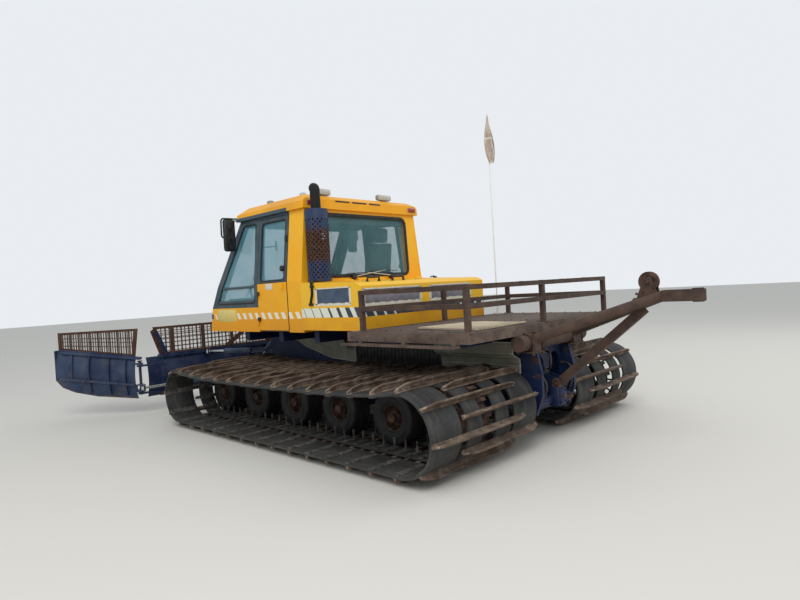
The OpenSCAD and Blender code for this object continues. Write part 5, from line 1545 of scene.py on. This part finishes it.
def make_stage(look):
    """A pale floor, an even sky-white world and two large soft lamps, as under a high overcast."""
    scene = bpy.context.scene
    scene.view_settings.view_transform = "Standard"
    reach, below = 60.0, -0.0005
    mesh = bpy.data.meshes.new("Floor")
    corners = [(-reach, -reach, below), (reach, -reach, below), (reach, reach, below), (-reach, reach, below)]
    mesh.from_pydata(corners, [], [(0, 1, 2, 3)])
    floor = bpy.data.objects.new("Floor", mesh)
    made, tree, _ = new_finish("Pale studio floor")
    shaded(tree, srgb("#d9d4ca"), 0.9)
    mesh.materials.append(made)
    scene.collection.objects.link(floor)

    world = bpy.data.worlds.new("Overcast")
    scene.world = world
    world.use_nodes = True
    tree = world.node_tree
    tree.nodes.clear()
    lit = add(tree, "Background", Color=srgb("#dfe6ee"), Strength=look.sky)
    seen = add(tree, "Background", Color=srgb("#e9edf1"), Strength=1.0)
    rays = [add(tree, "LightPath", out=kind) for kind in ("Is Camera Ray", "Is Transmission Ray")]
    plain = add(tree, *LARGER, _0=rays[0], _1=rays[1])
    add(tree, "OutputWorld", Surface=add(tree, "MixShader", _0=plain, _1=lit, _2=seen))

    for name, place, watts in (("Key lamp", (-7, 9, 11), look.key), ("Fill lamp", (-6, -8, 9), look.key / 3)):
        lamp = bpy.data.lights.new(name, "AREA")
        lamp.size, lamp.energy = LAMP_SIZE, watts
        light = bpy.data.objects.new(name, lamp)
        light.location = place
        x, y, z = place
        light.rotation_euler = math.atan2(math.hypot(x, y), z), 0, math.atan2(-y, -x) - math.pi / 2
        scene.collection.objects.link(light)


PICKER = {"subtype": "COLOR", "size": 3}


class GroomerLook(bpy.types.PropertyGroup):
    """What a user would change about the machine and the picture."""

    coat: FloatVectorProperty(
        name="Coat", description="Amber of the cab, hood and roof", default=srgb("#f7ac08")[:3], **PICKER
    )
    hull: FloatVectorProperty(
        name="Hull", description="Blue of the chassis and blade", default=srgb("#132142")[:3], **PICKER
    )
    frames: FloatVectorProperty(
        name="Window frames", description="Slate of the window frames", default=srgb("#3f5058")[:3], **PICKER
    )
    rubber: FloatVectorProperty(
        name="Belting", description="Black of the track belts", default=srgb("#1c1b1b")[:3], **PICKER
    )
    drop: FloatProperty(
        name="Pennant", description="Drop of the pennant", default=0.64, min=0.2, max=0.64, unit="LENGTH"
    )
    hose: FloatProperty(
        name="Hose", description="Diameter of the hoses", default=0.026, min=0.01, max=0.03, unit="LENGTH"
    )
    piping: FloatProperty(
        name="Piping", description="Radius of the seats' piping", default=0.004, min=0, max=0.01, unit="LENGTH"
    )
    rail: FloatProperty(
        name="Pulls", description="Radius of the lid's pulls", default=0.014, min=0.005, max=0.02, unit="LENGTH"
    )
    sky: FloatProperty(name="Sky light", description="Strength of the overcast sky", default=0.84, min=0, max=2)
    key: FloatProperty(name="Key lamp", description="Power of the large lamp", default=900, min=0, unit="POWER")


class GROOMER_OT_finishes(bpy.types.Operator):
    """Makes the finishes and puts them on the solids"""

    bl_idname = "groomer.finishes"
    bl_label = "Finishes"

    def execute(self, context):
        make_finishes(context.scene.groomer_look)
        dress_solids()
        return {"FINISHED"}


class GROOMER_OT_tracks(bpy.types.Operator):
    """The two tracks and their wheels, in place of the plain solids"""

    bl_idname = "groomer.tracks"
    bl_label = "Tracks and wheels"

    def execute(self, context):
        for side in ("left", "right"):
            for node, name, shape, finishes, slot in (
                ("track_", "track_%s_run", track_shape(), ("belt", "bar", "bar end", "track plate"), "track"),
                ("road_wheels_", "road_wheels_%s_tyres", wheels_shape(), ("tyre", "hub"), "road_wheel"),
            ):
                shape = shape if side == "left" else shape.flipped()
                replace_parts(piece(name % side, shape, finishes, smooth=24), node + side)
        return {"FINISHED"}


class GROOMER_OT_hood(bpy.types.Operator):
    """The hood's window films, latches and pulls"""

    bl_idname = "groomer.hood"
    bl_label = "Hood trim"

    def execute(self, context):
        look = context.scene.groomer_look
        for name, side in SIDES:
            piece("hood_window_edge_" + name, hood_windows(side), "white")
        films, edges = rear_windows()
        piece("hood_rear_films", films, "rear film")
        piece("hood_rear_film_edges", edges, "white")
        straps, pulls = hood_fittings(look.rail * 1000)
        piece("hood_strap_latches", straps, "seal")
        piece("hood_lid_pulls", pulls, "black", "hood_lid")
        return {"FINISHED"}


class GROOMER_OT_exhaust(bpy.types.Operator):
    """The pierced guard in place of the plain one, and the pipe with its elbow"""

    bl_idname = "groomer.exhaust"
    bl_label = "Exhaust guard"

    def execute(self, context):
        guard = guard_wall().placed(lambda points: points + [STACK_X, STACK_Y, HOOD_TOP])
        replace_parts(piece("exhaust_guard_pierced", guard, "guard"), "exhaust_guard")
        pipe, neck = exhaust_shape()
        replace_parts(piece("exhaust_straight_pipe", pipe, "hub"), "exhaust_pipe")
        piece("exhaust_elbow", neck, "soot")
        return {"FINISHED"}


class GROOMER_OT_cab(bpy.types.Operator):
    """The cab's seals, lining, doors' trim, wipers, mirrors and lamps"""

    bl_idname = "groomer.cab"
    bl_label = "Cab trim"

    def execute(self, context):
        piece("window_seals", window_seals(), "seal")
        piece("quarter_window_bars", quarter_bars(), "slate")
        piece("cab_lining", inner_lining(), "lining")
        for name, side in SIDES:
            rubber, slate, black = door_fittings(side)
            body = "door_" + name
            piece(body + "_seals", rubber, "seal", body)
            piece(body + "_frame_trim", slate, "slate", body)
            piece(body + "_handles", black, "black", body)
            piece("mirror_%s_head" % name, mirror_shape(side), "black")
        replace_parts(bpy.data.objects["mirror_left_head"], "mirrors")
        arms, blades = wipers()
        piece("wiper_arms", arms, "arm")
        piece("wiper_blades", blades, "black")
        housing, lens, red, slots = lamps()
        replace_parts(piece("roof_lamp_housings", housing, "lamp body"), "roof_lamps")
        piece("roof_and_nose_slots", slots, "black")
        piece("roof_lamp_lenses", lens, "lens")
        piece("rear_red_lamps", red, "red lens")
        return {"FINISHED"}


class GROOMER_OT_stickers(bpy.types.Operator):
    """The cab's masking tape, bare white labels and the dark ends of its stripes, each a thin plate on the wall"""

    bl_idname = "groomer.stickers"
    bl_label = "Tapes"

    def execute(self, context):
        for name, xs, zs, out, finish, body in (
            ("cab_side_tape", (4230, 4720), (1286, 1450), 1.2, "tape", "machine"),
            ("cab_side_dark_mark", (4850, 4905), (1322, 1392), 1.6, "dark tape", "machine"),
            ("door_blank_label", (3320, 3470), (1688, 1762), 1.4, "white", "door_left"),
        ):
            plate = Shape(block(xs, (CAB_HALF - 0.5, CAB_HALF + out), zs, 0.5))
            piece(name, plate, finish, body)
        return {"FINISHED"}


class GROOMER_OT_seats(bpy.types.Operator):
    """Two seats: padded cushion, back and headrest with piping, each filled by Blender's cloth, on a black base"""

    bl_idname = "groomer.seats"
    bl_label = "Seats"

    def execute(self, context):
        look = context.scene.groomer_look
        base = Shape()
        made = {}
        x, z = DOOR[0] + 250, 1190
        for seat_name, y in (("left", SEAT_Y), ("right", -SEAT_Y)):
            for x0, x1, half, z0, z1, r in (
                (-60, 260, 170, 0, 150, 12),
                (-20, 220, 120, 150, 330, 30),
                (-160, 330, 225, 322, 345, 8),
                (-215, -120, 200, 400, 450, 14),
            ):
                base.box((x + x0, x + x1), (y - half, y + half), (z + z0, z + z1), r)
            for s in (-60, 60):
                base.join(rod((x - 196, y + s, z + 1020), (x - 206, y + s, z + 1140), 9))
            for name, size, (px, py, pz), lean, crown in PADS:
                upright = name != "cushion"
                flat = size[::-1] if upright else size
                turn = turn_about((0, 1, 0), -90 - lean) if upright else np.eye(3)
                place = np.array([x + px, y + py, z + pz], float)
                shape = Shape(moved(pad_shape(flat, crown, 0.06), turn, place))
                thing = piece("seat_%s_%s" % (seat_name, name), shape, "seat", smooth=60)
                # The right seat's pads are the left one's, moved over by the distance between the seats
                if name in made:
                    thing.data.vertices.foreach_set("co", (made[name] - [0, 2 * SEAT_Y / 1000, 0]).ravel())
                    thing.data.update()
                else:
                    filled(thing, 10, 12)
                    made[name] = points_of(thing.data)
                smoother = thing.modifiers.new("Soft", "SUBSURF")
                smoother.levels = smoother.render_levels = 1
                half = flat[0] / 2 * 0.985, flat[1] / 2 * 0.985
                piping = Shape(seam(half, place, turn, look.piping * 1000))
                piece("seat_%s_%s_piping" % (seat_name, name), piping, "seal")
        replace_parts(piece("seat_bases", base, "black"), "seats")
        return {"FINISHED"}


class GROOMER_OT_deck(bpy.types.Operator):
    """The deck's bolts, treads, rail joints and the warped plywood board"""

    bl_idname = "groomer.deck"
    bl_label = "Deck fittings"

    def execute(self, context):
        steel, worn = deck_fittings()
        piece("deck_bolts", steel, "deck")
        piece("deck_step_treads", worn, "deck")
        names = "side_covers", "side_cover_edges", "side_louvres_painted_shade"
        for name, shape, finish in zip(names, side_covers(), ("olive", "olive edge", "black")):
            piece(name + "_left", shape, finish)
            piece(name + "_right", shape.flipped(), finish)
        piece("deck_rail_joints", rail_joints(), "rust")
        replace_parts(piece("deck_plywood", plywood_board(), "ply"), "deck_boards")
        return {"FINISHED"}


class GROOMER_OT_boom(bpy.types.Operator):
    """The boom's U-bolts, gussets and pins"""

    bl_idname = "groomer.boom"
    bl_label = "Boom fittings"

    def execute(self, context):
        bolts, plates = boom_fittings()
        piece("boom_bolts", bolts, "hub")
        piece("boom_gussets", plates, "rust")
        piece("boom_strut_collars", strut_fittings(), "hub")
        housing, ring = hitch_housing()
        piece("hitch_housing", housing, "blue")
        piece("hitch_ring", ring, "rust")
        return {"FINISHED"}


class GROOMER_OT_blade(bpy.types.Operator):
    """The blade's and wings' screens, cutting edges and bolts"""

    bl_idname = "groomer.blade"
    bl_label = "Blade fittings"

    def execute(self, context):
        piece("blade_screen_wires", blade_wires(), "screen", "blade")
        edge, bolts = blade_fittings()
        piece("blade_cutting_edge", edge, "edge", "blade")
        piece("blade_bolts", bolts, "edge", "blade")
        piece("blade_end_plates", blade_ends(), "blue", "blade")
        for name, side in SIDES:
            slats, edge, bolts = wing_fittings(side)
            body = "wing_" + name
            piece(body + "_screen_slats", slats, ("screen", "wing"), body)
            piece(body + "_cutting_edge", edge, "edge", body)
            piece(body + "_bolts", bolts, "edge", body)
        return {"FINISHED"}


class GROOMER_OT_flag(bpy.types.Operator):
    """The pennant as a sheet of nylon that hangs from the pole, with a white line across it and white hems"""

    bl_idname = "groomer.flag"
    bl_label = "Pennant"

    def execute(self, context):
        look = context.scene.groomer_look
        grid = pennant(look.drop * 1000)
        n, m = grid.shape[:2]
        faces = grid_faces(n, m).reshape(n - 1, m - 1, 4)
        white = np.zeros((n - 1, m - 1), bool)
        white[29:31] = white[-2:] = white[24:, -2:] = True
        shape = Shape()
        shape.add(grid.reshape(-1, 3), faces[~white])
        shape.faces.append((faces[white], 1))
        thing = piece("flag_pennant", shape, ("flag", "white"), smooth=80)
        areas = np.empty(len(thing.data.polygons))
        thing.data.polygons.foreach_get("area", areas)
        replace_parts(thing, "flag")
        return {"FINISHED"}


class GROOMER_OT_hoses(bpy.types.Operator):
    """Hydraulic hoses between the bulkhead's couplings at the rear, each a tube carried along a smooth route with a
    crimped coupling at both ends"""

    bl_idname = "groomer.hoses"
    bl_label = "Hoses"

    def execute(self, context):
        look = context.scene.groomer_look
        for name, share, corners in HOSES:
            r = look.hose * 500 * share
            path = spaced(arc_path(corners, 120, 9), 40)
            for _ in range(3):  # smoothed, so that no bend is sharper than a hose allows
                path[1:-1] = (path[:-2] + 2 * path[1:-1] + path[2:]) / 4
            thing = piece(name, Shape(carried(path, circle(r, 12), (0, 1, 0))), "hose", smooth=60)
            ends = Shape()
            for a, b in ((path[0], path[2]), (path[-1], path[-3])):
                d = (b - a) / np.linalg.norm(b - a)
                ends.join(carried([a, a + d * 34], circle(r + 4, 12), (0, 1, 0)))
                ends.join(carried([a, a + d * 12], circle(r + 8, 6), (0, 1, 0)))
            piece(name + "_couplings", ends, "zinc")
        return {"FINISHED"}


class GROOMER_OT_stage(bpy.types.Operator):
    """Sets up the floor, the light and the camera"""

    bl_idname = "groomer.stage"
    bl_label = "Stage and camera"

    def execute(self, context):
        make_stage(context.scene.groomer_look)
        make_camera()
        return {"FINISHED"}


OPERATORS = (
    GROOMER_OT_stage,
    GROOMER_OT_finishes,
    GROOMER_OT_tracks,
    GROOMER_OT_hood,
    GROOMER_OT_exhaust,
    GROOMER_OT_cab,
    GROOMER_OT_stickers,
    GROOMER_OT_seats,
    GROOMER_OT_deck,
    GROOMER_OT_boom,
    GROOMER_OT_blade,
    GROOMER_OT_flag,
    GROOMER_OT_hoses,
)


class GROOMER_PT_panel(bpy.types.Panel):
    """Lists the groomer's parts in the 3D view's sidebar"""

    bl_label = "Snow groomer"
    bl_space_type = "VIEW_3D"
    bl_region_type = "UI"
    bl_category = "Groomer"

    def draw(self, context):
        for name in GroomerLook.__annotations__:
            self.layout.prop(context.scene.groomer_look, name)
        for operator in OPERATORS:
            self.layout.operator(operator.bl_idname)


CLASSES = (GroomerLook, *OPERATORS, GROOMER_PT_panel)


def register():
    for c in CLASSES:
        bpy.utils.register_class(c)
    bpy.types.Scene.groomer_look = PointerProperty(type=GroomerLook)


def unregister():
    del bpy.types.Scene.groomer_look
    for c in reversed(CLASSES):
        bpy.utils.unregister_class(c)


def main():
    register()
    for operator in OPERATORS:
        group, name = operator.bl_idname.split(".")
        getattr(getattr(bpy.ops, group), name)()


if __name__ == "__main__":
    main()
